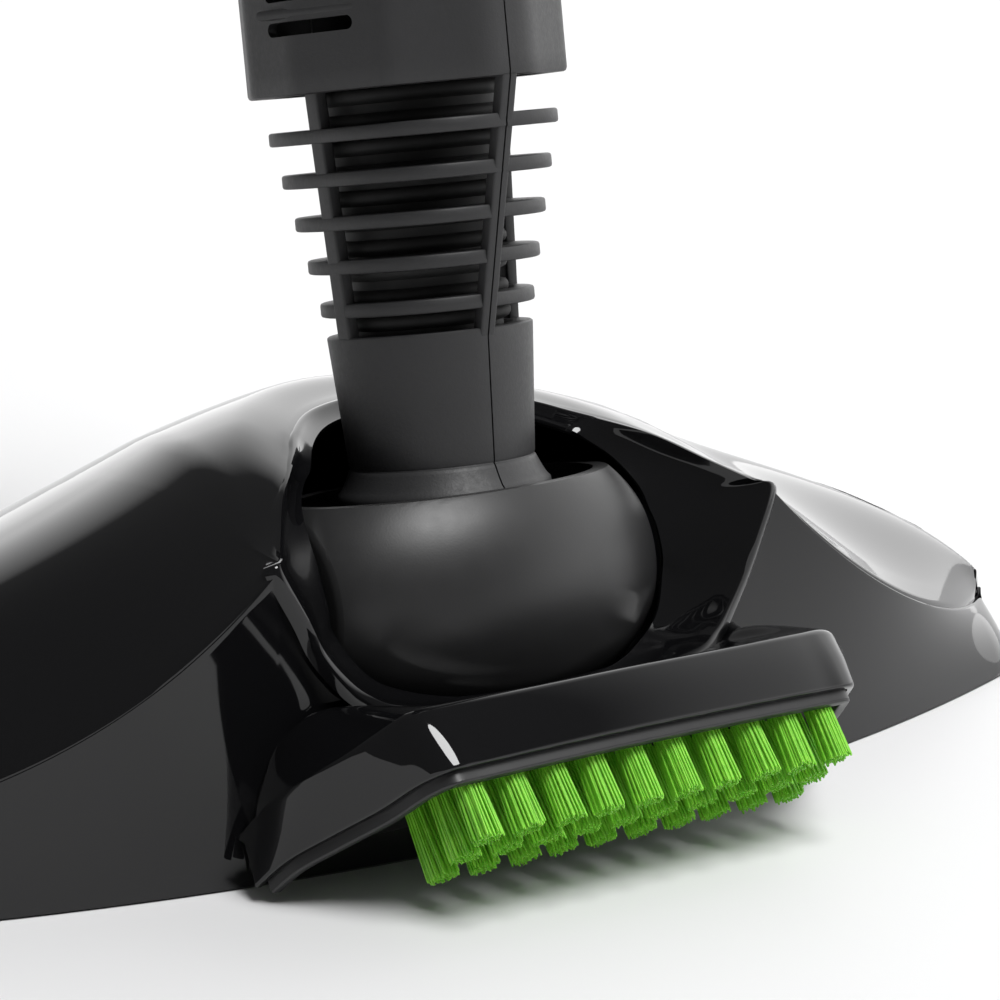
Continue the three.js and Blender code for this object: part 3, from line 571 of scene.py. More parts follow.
def make_cover():
    rows = 64
    loops = []
    for x in stations(170, HEAD_HALF * 0.996):
        start, end = cover_start(x), front_edge(x) - 0.4
        span = max(1.5, end - start)
        top = []
        for j in range(rows + 1):
            y = start + span * (j / rows)
            top.append(Vector((x, y, covered(x, y))))
        edge = 0.7
        first, last = top[0], top[-1]
        low_first = first - Vector((0, -0.1, WALL))
        low_last = last - Vector((0, 0.1, WALL))
        line = rounded(low_first, first, top[1], edge) + top[2:-2] + rounded(top[-3], last, low_last, edge)
        under = [p - Vector((0, 0, WALL)) for p in reversed(top[1:-1:3])]
        loops.append(line + [low_last] + under + [low_first])
    verts, faces = loft(loops)
    cover = make("top_cover_shell", verts, faces, "gloss_black", "head", ["top_cover"], sharp=25)
    carve(cover, *[pocket_prism(side, 0.2, 0, 90) for side in (-1, 1)], sharp=25)
    return cover


POCKET_X, POCKET_Y, POCKET_HALF, POCKET_RADIUS = 129.5, -28, 6, 14.4
POCKET_TURN = math.radians(81)


def pocket_outline(side, grow, count=24):
    radius = POCKET_RADIUS + grow
    points = []
    for end in (1, -1):
        for i in range(count + 1):
            t = math.pi * i / count + (0 if end > 0 else math.pi)
            points.append(Vector((radius * math.cos(t), end * POCKET_HALF + radius * math.sin(t), 0)))
    turn = Matrix.Rotation(-side * POCKET_TURN, 4, "Z")
    return [turn @ p + Vector((side * POCKET_X, POCKET_Y, 0)) for p in points]


def pocket_prism(side, grow, low, high):
    outline = pocket_outline(side, grow)
    return helper(*loft([[p + Vector((0, 0, z)) for p in outline] for z in (low, high)]))


def make_pocket(side, name):
    """Well whose rolled rim lies on the deck."""
    profile = []
    for i in range(7):
        t = math.pi / 2 * i / 6
        profile.append((1.6 - 2.34 * math.sin(t), 0.12 + math.cos(t) - 1))
    loops = []
    loops.append([Vector((p.x, p.y, covered(p.x, p.y) - 1.0)) for p in pocket_outline(side, 1.9)])
    for grow, drop in profile:
        loops.append([Vector((p.x, p.y, covered(p.x, p.y) + drop)) for p in pocket_outline(side, grow)])
    for grow, z in ((-1.1, 26), (-1.4, 22.6), (-2.4, 21.2), (-5, 21)):
        loops.append([Vector((p.x, p.y, z)) for p in pocket_outline(side, grow)])
    loops.append([Vector((p.x, p.y, 19.4)) for p in pocket_outline(side, -5)])
    loops.append([Vector((p.x, p.y, 19.4)) for p in pocket_outline(side, 0.1)])
    verts, faces = loft(loops, ring=True)
    tray = make("wing_pocket_" + name, verts, faces, "gloss_black", "head", ["pocket_tray_" + name])
    floor_outline = pocket_outline(side, -4.9)
    floor = loft([[p + Vector((0, 0, z)) for p in floor_outline] for z in (19.5, 20.9)])
    make("pocket_floor_" + name, *floor, "satin_black", "head", [])
    return tray


def base_top(x):
    """Upper edge of the base wall at the rear: the seam, or the cradle's rim between the V junctions."""
    out = abs(x)
    if out >= V_X:
        return seam_y(x), seam_z(out)
    rim = along_rim(LOWER_RIM, out)
    return rim.y, rim.z


def wall_y(x, height):
    """Rear face of the base wall, which flares out towards the seam."""
    foot = rear_edge(x)
    return foot + (seam_y(x) - foot) * min(1, max(0, height / seam_z(abs(x)))) ** 1.8


def make_base():
    """Wall round the head: upright at the rear, low at the front."""
    outer = []
    rear = [x for x in stations(190, HEAD_HALF * 0.999)]
    for x in rear:
        y, z = base_top(x)
        if abs(x) < V_X:
            z -= 1.0
            y = wall_y(x, z)
        else:
            z -= SEAM_GAP
        outer.append((Vector((x, rear_edge(x), 0)), Vector((x * 0.999, y, z))))
    for x in reversed(rear[2:-2]):
        y = front_edge(x)
        outer.append((Vector((x, y, 0)), Vector((x, y - 0.3, EDGE_HEIGHT - SEAM_GAP))))
    loops = []
    count = len(outer)
    for i, (low, high) in enumerate(outer):
        ahead, behind = outer[(i + 1) % count][0], outer[i - 1][0]
        along = (ahead - behind).normalized()
        inward = Vector((-along.y, along.x, 0)) * WALL
        steps = 14
        face = [low.lerp(high, (j + 0.5) / steps) for j in range(steps)]
        if i < len(rear):
            face = [Vector((p.x, wall_y(p.x, p.z), p.z)) for p in face]
        start = low + inward * 0.25
        inner_top = high + inward - Vector((0, 0, 0.1))
        loops.append([start, low + Vector((0, 0, 0.5))] + face
                     + rounded(face[-1], high, inner_top, 0.6) + [inner_top, low + inward])
    verts, faces = loft(loops, ring=True)
    return make("base_wall", verts, faces, "gloss_black", "head", ["base_shell"], sharp=30)


def eased(vectors, reach):
    """Each vector of a closed row averaged with its neighbours."""
    count = len(vectors)
    return [sum((vectors[(i + k) % count] for k in range(-reach, reach + 1)), Vector()) / (2 * reach + 1)
            for i in range(count)]


def make_cradle():
    """Flared bowl between rim and lip, with a rolled rim."""
    count = 260
    rims = spline(all_round([rim for rim, _ in CRADLE]), count, closed=True)
    lips = eased(spline(all_round([lip for _, lip in CRADLE]), count, closed=True), 3)
    lips = [lip + (rim - lip).normalized() * 0.35 for rim, lip in zip(rims, lips)]
    ups = []
    for i in range(count):
        along = (rims[(i + 1) % count] - rims[i - 1]).normalized()
        up = along.cross(lips[i] - rims[i]).normalized()
        ups.append(-up if up.dot(Vector((-rims[i].x * 0.3, -1, 1))) < 0 else up)
    ups = eased(ups, 9)
    loops = []
    for i in range(count):
        rim, lip, up = rims[i], lips[i], ups[i].normalized()
        into = (lip - rim).normalized()
        depth = (lip - rim).length
        dip = rim.lerp(lip, 0.5) - up * min(3.2, depth * 0.13)
        face = []
        for j in range(11):
            t = j / 10
            face.append((1 - t) ** 2 * rim + 2 * t * (1 - t) * dip + t * t * lip)
        roll = [rim - into * 1.3 - up * 3.2, rim - into * 1.3 - up * 1.4, rim - into * 0.95 - up * 0.5,
                rim - into * 0.3 - up * 0.08]
        tail = [lip + into * 0.5 - up * 0.4, lip + into * 0.6 - up * 1.2, lip - up * 2.0]
        under = [dip - up * 2.2, rim + into * 0.9 - up * 3.2]
        loops.append(roll + face[1:] + tail + under)
    verts, faces = loft(loops, ring=True)
    return make("cradle_bowl", verts, faces, "gloss_black", "head", ["cradle_ring"], sharp=40)


# Brush hood rails from the floor round to the middle, right side: where it meets the wall, its
# upper edge, its lower edge
HOOD_WALL = [(63.5, -88, 1.2), (62.8, -87.6, 9), (61.4, -87.6, 18), (58.5, -88, 26), (54.5, -88.6, 30.5),
             (49, -89.6, 32.4), (40, -92.8, 32), (22, -97.4, 30.2), (0, -98.4, 29.4)]
HOOD_TOP = [(63.4, -89.6, 16.6), (64.2, -97.5, 21), (62.3, -106.2, 26.9), (57.8, -113.3, 32.5),
            (53.3, -116.2, 36.3), (48.4, -119.2, 39.9), (40, -120.2, 40.8), (20, -120.9, 41.2),
            (0, -121.1, 41.4)]
HOOD_EDGE = [(66.8, -94, 3.2), (64, -100.6, 9.7), (58.7, -108.2, 15.7), (53.9, -116.3, 21.7),
             (50.8, -123.6, 27.6), (46.8, -129, 31.3), (39, -129.8, 31.9), (20, -130.3, 32.4),
             (0, -130.5, 32.6)]
HOOD_SLOPE = Vector((0, -0.78, 0.626))  # up the open side
HOOD_OUT = Vector((0, -0.626, -0.78))  # out of the open side
HOOD_FOOT = Vector((0, -95.4, 4.5))


def hood_rails(count):
    return [spline(list(rail) + [flip(p) for p in reversed(rail[:-1])], count)
            for rail in (HOOD_WALL, HOOD_TOP, HOOD_EDGE)]


def inward(edges, i, amount):
    """The edge point moved into the open side by an amount, in its plane."""
    ahead = edges[min(i + 1, len(edges) - 1)]
    behind = edges[max(i - 1, 0)]
    along = (ahead - behind).normalized()
    return edges[i] + along.cross(HOOD_OUT).normalized() * -amount


def make_hood():
    count = 150
    walls, tops, edges = hood_rails(count)
    loops = []
    for i in range(count):
        wall, top, edge = walls[i], tops[i], edges[i]
        side = smoothstep(abs(wall.x), 40, 52)
        flush = Vector((wall.x, wall_y(wall.x, wall.z) + 0.15, wall.z))
        wall = wall.lerp(flush, side)
        turn = Vector((top.x, wall_y(top.x, top.z) - 0.3, (wall.z + top.z) / 2))
        hollow = wall.lerp(top, 0.45).lerp(turn, side * 0.85)
        skin = [(1 - t) ** 2 * wall + 2 * t * (1 - t) * hollow + t * t * top for t in
                (0, 0.1, 0.2, 0.3, 0.42, 0.55, 0.7, 0.85)]
        fascia = top.lerp(edge, 0.5) + (top - wall).normalized() * 0.5
        lip = inward(edges, i, 1.6)
        deep = lip - HOOD_OUT * 9
        loop = skin + rounded(skin[-1], top, fascia, 1.2, 4) + [fascia]
        loop += rounded(fascia, edge, lip, 0.8, 4) + [lip, deep, deep + Vector((0, 3, 0))]
        loop.append(wall + Vector((0, 1.5, -1.5 if wall.z > 4 else 0.4)))
        loops.append(loop)
    verts, faces = loft(loops)
    return make("brush_hood_shell", verts, faces, "gloss_black", "head", ["brush_hood"], sharp=40)


def make_brush_insert():
    """Frame just inside the hood's lower edge, with the plate that carries the tufts."""
    count = 120
    edges = hood_rails(count)[2]
    loops = []
    for i in range(2, count - 2):
        a = inward(edges, i, 1.9)
        b = inward(edges, i, 4.2)
        loops.append(
            [a - HOOD_OUT * 4, a + HOOD_OUT * 1.9]
            + rounded(a + HOOD_OUT * 1.5, a + HOOD_OUT * 2.3, b + HOOD_OUT * 2.3, 0.5)
            + rounded(a + HOOD_OUT * 2.3, b + HOOD_OUT * 2.3, b, 0.5)
            + [b - HOOD_OUT * 2.5, b - HOOD_OUT * 4]
        )
    rim = loft(loops)
    plate_outline = [inward(edges, i, 2.6) - HOOD_OUT * 3 for i in range(4, count - 4, 2)]
    plate = loft([plate_outline, [p - HOOD_OUT * 2 for p in plate_outline]])
    verts, faces = added(rim, plate)
    return make("brush_insert", verts, faces, "satin_black", "head", ["brush_plate"])


ROWS, TUFTS, STRANDS = 3, 10, 84
ROW_PITCH, TUFT_PITCH, TOP_ROW = 9.2, 9.06, 37.6
BRISTLE_REAR = -134.5  # no tip goes further back


def filament(root, tip, radius, sides=5):
    axis = (tip - root).normalized()
    side = axis.orthogonal().normalized()
    other = axis.cross(side)
    loops = []
    for t, r in ((0, radius), (0.5, radius), (0.97, radius), (1, radius * 0.7)):
        middle = root.lerp(tip, t)
        loops.append([middle + (side * math.cos(a) + other * math.sin(a)) * r
                      for a in (2 * math.pi * k / sides for k in range(sides))])
    return loft(loops)


def make_bristles():
    chance = random.Random(7)
    golden = math.pi * (3 - math.sqrt(5))
    for row in range(ROWS):
        solids = []
        up = TOP_ROW - row * ROW_PITCH
        for tuft in range(TUFTS):
            x = (tuft - (TUFTS - 1) / 2) * TUFT_PITCH
            centre = HOOD_FOOT + HOOD_SLOPE * up + Vector((x, 0, 0))
            lean = Vector((chance.uniform(-0.35, 0.35), chance.uniform(-0.2, 0.2), 0))
            for k in range(STRANDS):
                spread = math.sqrt((k + 0.5) / STRANDS)
                angle = k * golden
                offset = Vector((math.cos(angle), 0, 0)) * spread + HOOD_SLOPE * math.sin(angle) * spread
                wild = chance.random() < 0.012
                root = centre + offset * 2.45 - HOOD_OUT * 3.2
                length = 12.4 + chance.uniform(-0.45, 0.25)
                fan = offset * (3.05 + (chance.uniform(-0.9, 0.9) if wild else chance.uniform(-0.12, 0.12)))
                jitter = Vector((chance.uniform(-0.25, 0.25), chance.uniform(-0.2, 0.2), 0))
                if wild:
                    jitter *= 6
                tip = centre + fan + jitter + lean + HOOD_OUT * length
                tip.y = max(tip.y, BRISTLE_REAR)
                solids.append(filament(root, tip, chance.uniform(0.21, 0.27)))
        verts, faces = added(*solids)
        name = "bristle_row_" + str(row + 1)
        make(name + "_filaments", verts, faces, "bristle_green", "head", [name], sharp=50)


# ------------------------------------------------------------------ barrel and neck
def crown(x):
    return BARREL_RADIUS * math.sqrt(1 - (x / BARREL_REACH) ** 2)


def make_barrel():
    steps = 40
    outer = []
    for i in range(steps + 1):
        x = (BARREL_END - 0.8) * math.sin(math.pi / 2 * (2 * i / steps - 1))
        outer.append((crown(x), x))
    rounding = [(crown(BARREL_END) - 0.1, BARREL_END - 0.25), (crown(BARREL_END) - 0.7, BARREL_END)]
    left_end = [(r, -x) for r, x in reversed(rounding)]
    inner = [(crown(x) - WALL, x) for _, x in reversed(outer[2:-2])]
    hub = 6.5
    profile = [(hub, -BARREL_END)] + left_end + outer + rounding + [(hub, BARREL_END)]
    profile += [(hub, BARREL_END - WALL), (inner[0][0], BARREL_END - WALL)] + inner[1:-1]
    profile += [(inner[-1][0], WALL - BARREL_END), (hub, WALL - BARREL_END)]
    barrel = make("barrel_roller", *turned(profile, 144, "X"), "satin_black", "barrel",
                  ["barrel_shell"], place=MAST, sharp=30)
    carve(barrel, helper(*brick(0, 0, BARREL_CUT + 30, 120, 120, 60), place=MAST), sharp=30)
    soften(barrel, 0.6, 3, 50, 30)
    return barrel


def half_of(part, side):
    """One side of x = 0 of a solid, with the cut capped."""
    verts, faces = part
    mesh = bpy.data.meshes.new("half")
    mesh.from_pydata([tuple(v) for v in verts], [], faces)
    work = bmesh.new()
    work.from_mesh(mesh)
    bmesh.ops.recalc_face_normals(work, faces=work.faces)
    geometry = work.verts[:] + work.edges[:] + work.faces[:]
    bmesh.ops.bisect_plane(work, geom=geometry, plane_co=(side * HALF_GAP, 0, 0), plane_no=(-side, 0, 0),
                           clear_outer=True)
    open_edges = [e for e in work.edges if e.is_boundary]
    bmesh.ops.holes_fill(work, edges=open_edges)
    work.to_mesh(mesh)
    work.free()
    out = ([v.co.copy() for v in mesh.vertices], [tuple(p.vertices) for p in mesh.polygons])
    bpy.data.meshes.remove(mesh)
    return out


def sleeve():
    """Flared skirt in the barrel, then the plain sleeve up to the fins."""
    foot = [(16.2, SLEEVE_FOOT), (21.3, SLEEVE_FOOT), (21.35, SLEEVE_FOOT + 0.6)]
    flare = []
    for i in range(8):
        t = i / 7
        flare.append((21.2 - 2.55 * t ** 0.75, SLEEVE_FOOT + 1.4 + (SLEEVE_WAIST - SLEEVE_FOOT - 1.6) * t))
    step = [(18.45, SLEEVE_WAIST - 0.05), (18.35, SLEEVE_WAIST + 0.25)]
    wall = [(18.55 + 1.9 * t, SLEEVE_WAIST + 0.7 + (SLEEVE_TOP - SLEEVE_WAIST - 1.3) * t) for t in
            (0, 0.2, 0.4, 0.6, 0.8, 1)]
    top = [(20.42, SLEEVE_TOP - 0.25), (20.1, SLEEVE_TOP), (16.6, SLEEVE_TOP)]
    return turned(foot + flare + step + wall + top, 128)


def fin_outline(height):
    t = (height - SLEEVE_TOP) / (BODY_FOOT - SLEEVE_TOP)
    return 20.2 + 2.8 * t, 20.2 + 15.8 * t, 2 + 0.8 * t


def fin(index):
    middle = FIRST_FIN + index * FIN_PITCH
    a, b, power = fin_outline(middle)
    half = FIN_THICKNESS / 2
    edge = [(-0.55, -half), (-0.16, -half + 0.14), (0, -half + 0.5), (0, half - 0.5),
            (-0.16, half - 0.14), (-0.55, half)]
    rings = [oval(a + out, b + out, middle + z, power, 96) for out, z in edge]
    rings.append(oval(17.4, 17.4, middle + half, 2, 96))
    rings.append(oval(17.4, 17.4, middle - half, 2, 96))
    return loft(rings, ring=True)


def bar(foot, head, wide, deep):
    """Upright bar between two points, with rounded corners."""
    rings = []
    for t in (0, 0.25, 0.5, 0.75, 1):
        p = Vector(foot).lerp(Vector(head), t)
        rings.append([(v[0] + p.x, v[1] + p.y, p.z) for v in oval(wide, deep, 0, 7, 28)])
    return loft(rings)


def bars():
    low, high = SLEEVE_TOP - 1.5, BODY_FOOT + 0.2
    reach = fin_outline(high)[1]
    return [
        bar((-18.9, 0, low), (-21.3, 0, high), 1.3, 2.2),
        bar((18.9, 0, low), (21.3, 0, high), 1.3, 2.2),
        bar((0, -18.9, low), (0, 1.6 - reach, high), 1.7, 1.5),
        bar((0, 18.9, low), (0, reach - 1.6, high), 1.7, 1.5),
    ]


def make_neck():
    parts = [sleeve()] + [fin(i) for i in range(FIN_COUNT)] + bars()
    flange = [oval(23, 31, BODY_FOOT + 2, 2.8, 96), oval(23, 31, BODY_FOOT + 6, 2.8, 96),
              oval(17.4, 17.4, BODY_FOOT + 6, 2, 96), oval(17.4, 17.4, BODY_FOOT + 2, 2, 96)]
    parts.append(loft(flange, ring=True))
    for name, side in (("left", -1), ("right", 1)):
        verts, faces = added(*[half_of(part, side) for part in parts])
        make("neck_half_" + name, verts, faces, "grained_black", "mast", ["neck_shell_" + name],
             place=MAST, sharp=32)
    ribs = [(11, 31)]
    for i in range(14):
        z = 32 + i * 4.9
        wide = 16.3 + 2.2 * smoothstep(z, 55, 92)
        ribs += [(wide - 0.4, z), (wide, z + 0.7), (wide, z + 1.5), (wide - 0.4, z + 2.2),
                 (wide - 1.6, z + 2.6), (wide - 1.6, z + 4.3)]
    ribs.append((11, 101))
    make("neck_bellows", *turned(ribs, 72), "rubber", "mast", ["corrugated_sleeve"], place=MAST, sharp=50)


# ------------------------------------------------------------------ body
BODY = [
    (BODY_FOOT, 27.5, 36, 0, 2.8), (122, 28.2, 36.6, 0, 2.8), (150, 33, 40, 0, 2.8),
    (205, 50, 47, 2, 2.8), (260, 54, 48, 2, 2.8), (365, 53, 46, 2, 2.8), (400, 47, 43, 1, 2.8),
    (435, 27, 29, 0, 2.4), (BODY_TOP, 19, 19, 0, 2),
]
FOOT_SECTION = [(5, -36), (21, -25.5), (28.6, -4), (28.6, 12), (20, 28), (6, 36)]
TANK_Y, TANK_LOW, TANK_HIGH, TANK_WIDE, TANK_DEEP = 39, 232, 376, 38, 27
BAY_HEADROOM = 19


def body_sizes(height):
    """Half sizes, shift and power of the body's section at a height."""
    places = [row[0] for row in BODY]
    t = 0
    for i, (a, b) in enumerate(zip(places, places[1:])):
        if height <= b or i == len(places) - 2:
            t = i + (height - a) / (b - a)
            break
    i = min(int(t), len(BODY) - 2)
    f = t - i
    rows = [BODY[max(0, min(len(BODY) - 1, n))][1:] for n in (i - 1, i, i + 1, i + 2)]
    out = []
    for p0, p1, p2, p3 in zip(*rows):
        out.append(0.5 * (2 * p1 + (p2 - p0) * f + (2 * p0 - 5 * p1 + 4 * p2 - p3) * f * f
                          + (3 * p1 - p0 - 3 * p2 + p3) * f ** 3))
    return out


def faceted_radius(angle):
    """Distance from the axis to the foot section's flats in a direction."""
    right = FOOT_SECTION
    corners = right + [(-x, y) for x, y in reversed(right)]
    c, s = math.cos(angle), math.sin(angle)
    best = 1e9
    for (ax, ay), (bx, by) in zip(corners, corners[1:] + corners[:1]):
        nx, ny = by - ay, ax - bx
        facing = nx * c + ny * s
        reach = nx * ax + ny * ay
        if facing > 1e-9:
            best = min(best, reach / facing)
    return best


def body_loop(height, inside=0.0, count=120):
    a, b, shift, power = body_sizes(height)
    flat = 1 - smoothstep(height, 118, 165)
    points = []
    for i in range(count):
        angle = 2 * math.pi * i / count
        c, s = math.cos(angle), math.sin(angle)
        soft = (abs(c / a) ** power + abs(s / b) ** power) ** (-1 / power)
        near = [faceted_radius(angle + step * 0.022) for step in (-2, -1, 0, 1, 2)]
        radius = soft + (sum(near) / 5 - soft) * flat - inside
        points.append((radius * c, shift + radius * s, height))
    return points


def bay(grow, low, high):
    rings = [oval(TANK_WIDE + grow, TANK_DEEP + grow, z, 2.8, 72, 0, TANK_Y) for z in (low, high)]
    return loft(rings)


def louvre_place(side, height):
    """On the side flat, x along the slot and y out of the wall."""
    along = Vector((side * 7.6, 21.5, 0)).normalized()
    out = Vector((side * abs(along.y), -abs(along.x), 0))
    frame_matrix = Matrix((
        (along.x, out.x, 0, side * 26.2),
        (along.y, out.y, 0, -8),
        (0, 0, 1, height),
        (0, 0, 0, 1),
    ))
    return MAST @ frame_matrix


def pill(length, high, depth_from, depth_to, steps=8):
    """Slot with round ends, standing along y."""
    outline = []
    radius = high / 2
    half = length / 2 - radius
    for end in (1, -1):
        for i in range(steps + 1):
            t = -math.pi / 2 + math.pi * i / steps + (0 if end > 0 else math.pi)
            outline.append((end * half + radius * math.cos(t), radius * math.sin(t)))
    return loft([[(x, depth, z) for x, z in outline] for depth in (depth_from, depth_to)])


def make_body():
    rows = 84
    heights = [BODY_FOOT + (BODY_TOP - BODY_FOOT) * i / rows for i in range(rows + 1)]
    outer = [body_loop(BODY_FOOT, 0.7), body_loop(BODY_FOOT + 0.2, 0.25), body_loop(BODY_FOOT + 0.8)]
    outer += [body_loop(z) for z in heights[1:-1]] + [body_loop(BODY_TOP - 0.6), body_loop(BODY_TOP, 0.6)]
    inner_heights = [BODY_FOOT + WALL + (BODY_TOP - 3 - BODY_FOOT) * i / 50 for i in range(51)]
    inner = [body_loop(min(z, BODY_TOP - WALL), WALL) for z in inner_heights]
    for name, side in (("left", -1), ("right", 1)):
        shell = helper(*loft(outer), place=MAST)
        hollow = helper(*loft(inner), place=MAST)
        joined(hollow, helper(*bay(3.4, TANK_LOW - 4, TANK_HIGH + BAY_HEADROOM + 3), place=MAST))
        joined(shell, hollow)
        bay_high = TANK_HIGH - TANK_LOW + BAY_HEADROOM + 1.5
        bay_middle = (TANK_LOW + TANK_HIGH + BAY_HEADROOM) / 2
        hollowed(
            shell,
            bay(1, TANK_LOW - 1.5, TANK_HIGH + BAY_HEADROOM),
            brick(0, TANK_Y + 30, bay_middle, 2 * TANK_WIDE + 2, 60, bay_high),
            loft([oval(21.6, 29.6, z, 2.8, 72) for z in (BODY_FOOT - 2, BODY_FOOT + 8)]),
            loft([oval(CLAMP_BORE, CLAMP_BORE, z, 2, 48) for z in (BODY_TOP - 12, BODY_TOP + 4)]),
        )
        for i in range(3):
            joined(shell, helper(*pill(22.6, 2.7, -6, 6), place=louvre_place(side, 110.7 + 6.6 * i)))
        hollowed(shell, brick(0, -47, SWITCH_Z, 15, 30, 25), brick(0, 50, LATCH_Z, 20.7, 30, 9.7))
        for z, radius in ((DIAL_Z, 4.5), (LENS_Z, 3.3), (INLET_Z, 7.3), (HOOK_Z, 5.3)):
            bore = [(0.01, -70), (radius, -70), (radius, -20), (0.01, -20)]
            hollowed(shell, shifted(turned(bore, 32, "Y"), z=z))
        keep = brick(side * (100 + HALF_GAP), 0, 300, 200, 300, 600)
        joined(shell, helper(*keep, place=MAST), "INTERSECT")
        adopt(shell, "body_half_" + name, "grained_black", "mast", "body_shell_" + name, 32)
        brows = []
        for i in range(3):
            place = MAST.inverted() @ louvre_place(side, 113.6 + 6.6 * i)
            verts, faces = pill(24.4, 1.9, -1.5, 0.95)
            brows.append(([place @ Vector(v) for v in verts], faces))
        soften(make("louvre_brows_" + name, *added(*brows), "grained_black", "mast", [], place=MAST),
               0.4, 2, 40)


def lathe_piece(name, profile, slot, body, nodes, axis="Z", x=0, y=0, z=0, sides=72, sharp=35):
    """Lathe on the mast, moved to a place."""
    verts, faces = shifted(turned(profile, sides, axis), x, y, z)
    return make(name, verts, faces, slot, body, nodes, place=MAST, sharp=sharp)


def make_tank():
    def ring(inset, z, back=0.0):
        return oval(TANK_WIDE - inset, TANK_DEEP - inset, z, 2.8, 96, 0, TANK_Y - back)

    outer = [ring(7, TANK_LOW)]
    for t in (0, 0.25, 0.5, 0.75, 1):
        angle = math.pi / 2 * t
        outer.append(ring(6 * (1 - math.sin(angle)), TANK_LOW + 6 * (1 - math.cos(angle))))
    outer.append(ring(0, TANK_HIGH - 16))
    for t in (0.2, 0.4, 0.6, 0.8, 1):
        angle = math.pi / 2 * t
        outer.append(ring(7 * (1 - math.cos(angle)), TANK_HIGH - 12 + 12 * math.sin(angle), 3 * t))
    mouth_y = TANK_Y + 4
    for radius, z in ((13.4, 0), (13, 0.4), (13, 7.4), (12.6, 8), (11.2, 8), (11, 7.4), (11, -2)):
        outer.append(oval(radius, radius, TANK_HIGH + z, 2, 96, 0, mouth_y))
    inner = [ring(9, TANK_HIGH - 2.2, 3), ring(2, TANK_HIGH - 16)]
    inner += [ring(2, TANK_LOW + 8), ring(8, TANK_LOW + 2)]
    verts, faces = loft(outer + inner)
    make("water_tank_shell", verts, faces, "tank_clear", "tank", ["water_tank"], place=MAST)
    cap = [(0.3, 10.9), (13.5, 10.9), (15.2, 10.2), (16, 8.6), (16, 1.2), (13.4, 1.2), (13.4, 8.3),
           (0.3, 8.3)]
    verts, faces = turned(cap, 96)
    knurl = shifted((knurled(verts, 1, 24, 0.45, 15.5), faces), 0, mouth_y, TANK_HIGH)
    wing = brick(0, mouth_y, TANK_HIGH + 12.9, 26, 4.6, 5.2)
    soften(make("tank_cap_turned", *added(knurl, wing), "accent_green", "cap", ["tank_cap"],
                place=MAST), 0.5, 2, 50)


def make_controls():
    rocker_turn = Matrix.Translation((0, -43.5, SWITCH_Z)) @ Matrix.Rotation(math.radians(-7), 4, "X")
    section = []
    for i in range(13):
        t = i / 12
        section.append((-3.0 + 1.3 * math.sin(math.pi * t), -10.5 + 21 * t))
    loops = [[(x, y, z) for y, z in section] + [(x, 3, 10.5), (x, 3, -10.5)] for x in (-6.5, 6.5)]
    soften(make("rocker_switch", *loft(loops), "accent_green", "switch", ["power_switch"],
                place=MAST @ rocker_turn), 0.5, 2, 50)
    bezel = [brick(x, -47.4, SWITCH_Z, 2.4, 2, 29) for x in (-9, 9)]
    bezel += [brick(0, -47.4, SWITCH_Z + z, 20.4, 2, 2.4) for z in (13.8, -13.8)]
    soften(make("switch_bezel", *added(*bezel), "satin_black", "mast", [], place=MAST), 0.5, 2, 50)
    dial = [(0.3, -56), (11.6, -56), (12.6, -55.2), (13, -54), (13, -47.4), (4, -47.4), (4, -38),
            (0.3, -38)]
    verts, faces = turned(dial, 96, "Y")
    ribbed = shifted((knurled(verts, 2, 20, 0.5, 12.8), faces), z=DIAL_Z)
    pointer = brick(0, -56.9, DIAL_Z, 2.6, 2.4, 21)
    soften(make("steam_dial_knob", *added(ribbed, pointer), "satin_black", "dial", ["steam_dial"],
                place=MAST), 0.4, 2, 50)
    lens = [(0.2, -47.9), (1.6, -47.7), (2.6, -47.2), (3, -46.4), (3, -41), (0.2, -41)]
    lathe_piece("pilot_lens", lens, "lens", "mast", ["indicator_lens"], "Y", z=LENS_Z, sides=48)
    gland = [(3.5, -44), (7, -44), (7, -49), (8, -49.2), (9.5, -50), (9.4, -51.6), (8.4, -52.2),
             (8.2, -53), (8, -53.6), (7.4, -54.6), (6.4, -55), (4.2, -55), (3.5, -54.4)]
    lathe_piece("inlet_gland", gland, "rubber", "mast", ["cord_inlet"], "Y", z=INLET_Z, sides=64)
    latch = added(brick(0, 43, LATCH_Z, 20, 14, 9), brick(0, 51, LATCH_Z, 16, 3, 6))
    soften(make("tank_latch_key", *latch, "accent_green", "latch", ["tank_latch"], place=MAST), 0.8, 3, 50)


def make_hook(name, node, body, height, turn, back, root):
    """Round foot, arm and turned-up lip of a cord hook."""
    foot = turned([(0.3, back - 5), (8.2, back - 5), (9, back - 4.2), (9, back - 0.6), (5, back - 0.6),
                   (5, back + root), (0.3, back + root)], 64, "Y")
    spine = [(back - 4, 3 * turn), (back - 12, 3 * turn), (back - 18, 4 * turn), (back - 20, 9 * turn),
             (back - 20, 16 * turn), (back - 20.6, 23.6 * turn)]
    path = spline([(0, y, z) for y, z in spine], 26)
    loops = []
    for i, p in enumerate(path):
        along = (path[min(i + 1, 25)] - path[max(i - 1, 0)]).normalized()
        side = Vector((0, -along.z, along.y))
        t = i / 25
        thick = 2.4 - 0.5 * t
        wide = 5 + 2 * smoothstep(t, 0.45, 0.8)
        loops.append([Vector((u, 0, 0)) + p + side * v for u, v, _ in oval(wide, thick, 0, 3.2, 24)])
    verts, faces = shifted(added(foot, loft(loops)), z=height)
    soften(make(name, verts, faces, "satin_black", body, [node], place=MAST), 0.3, 2, 60)


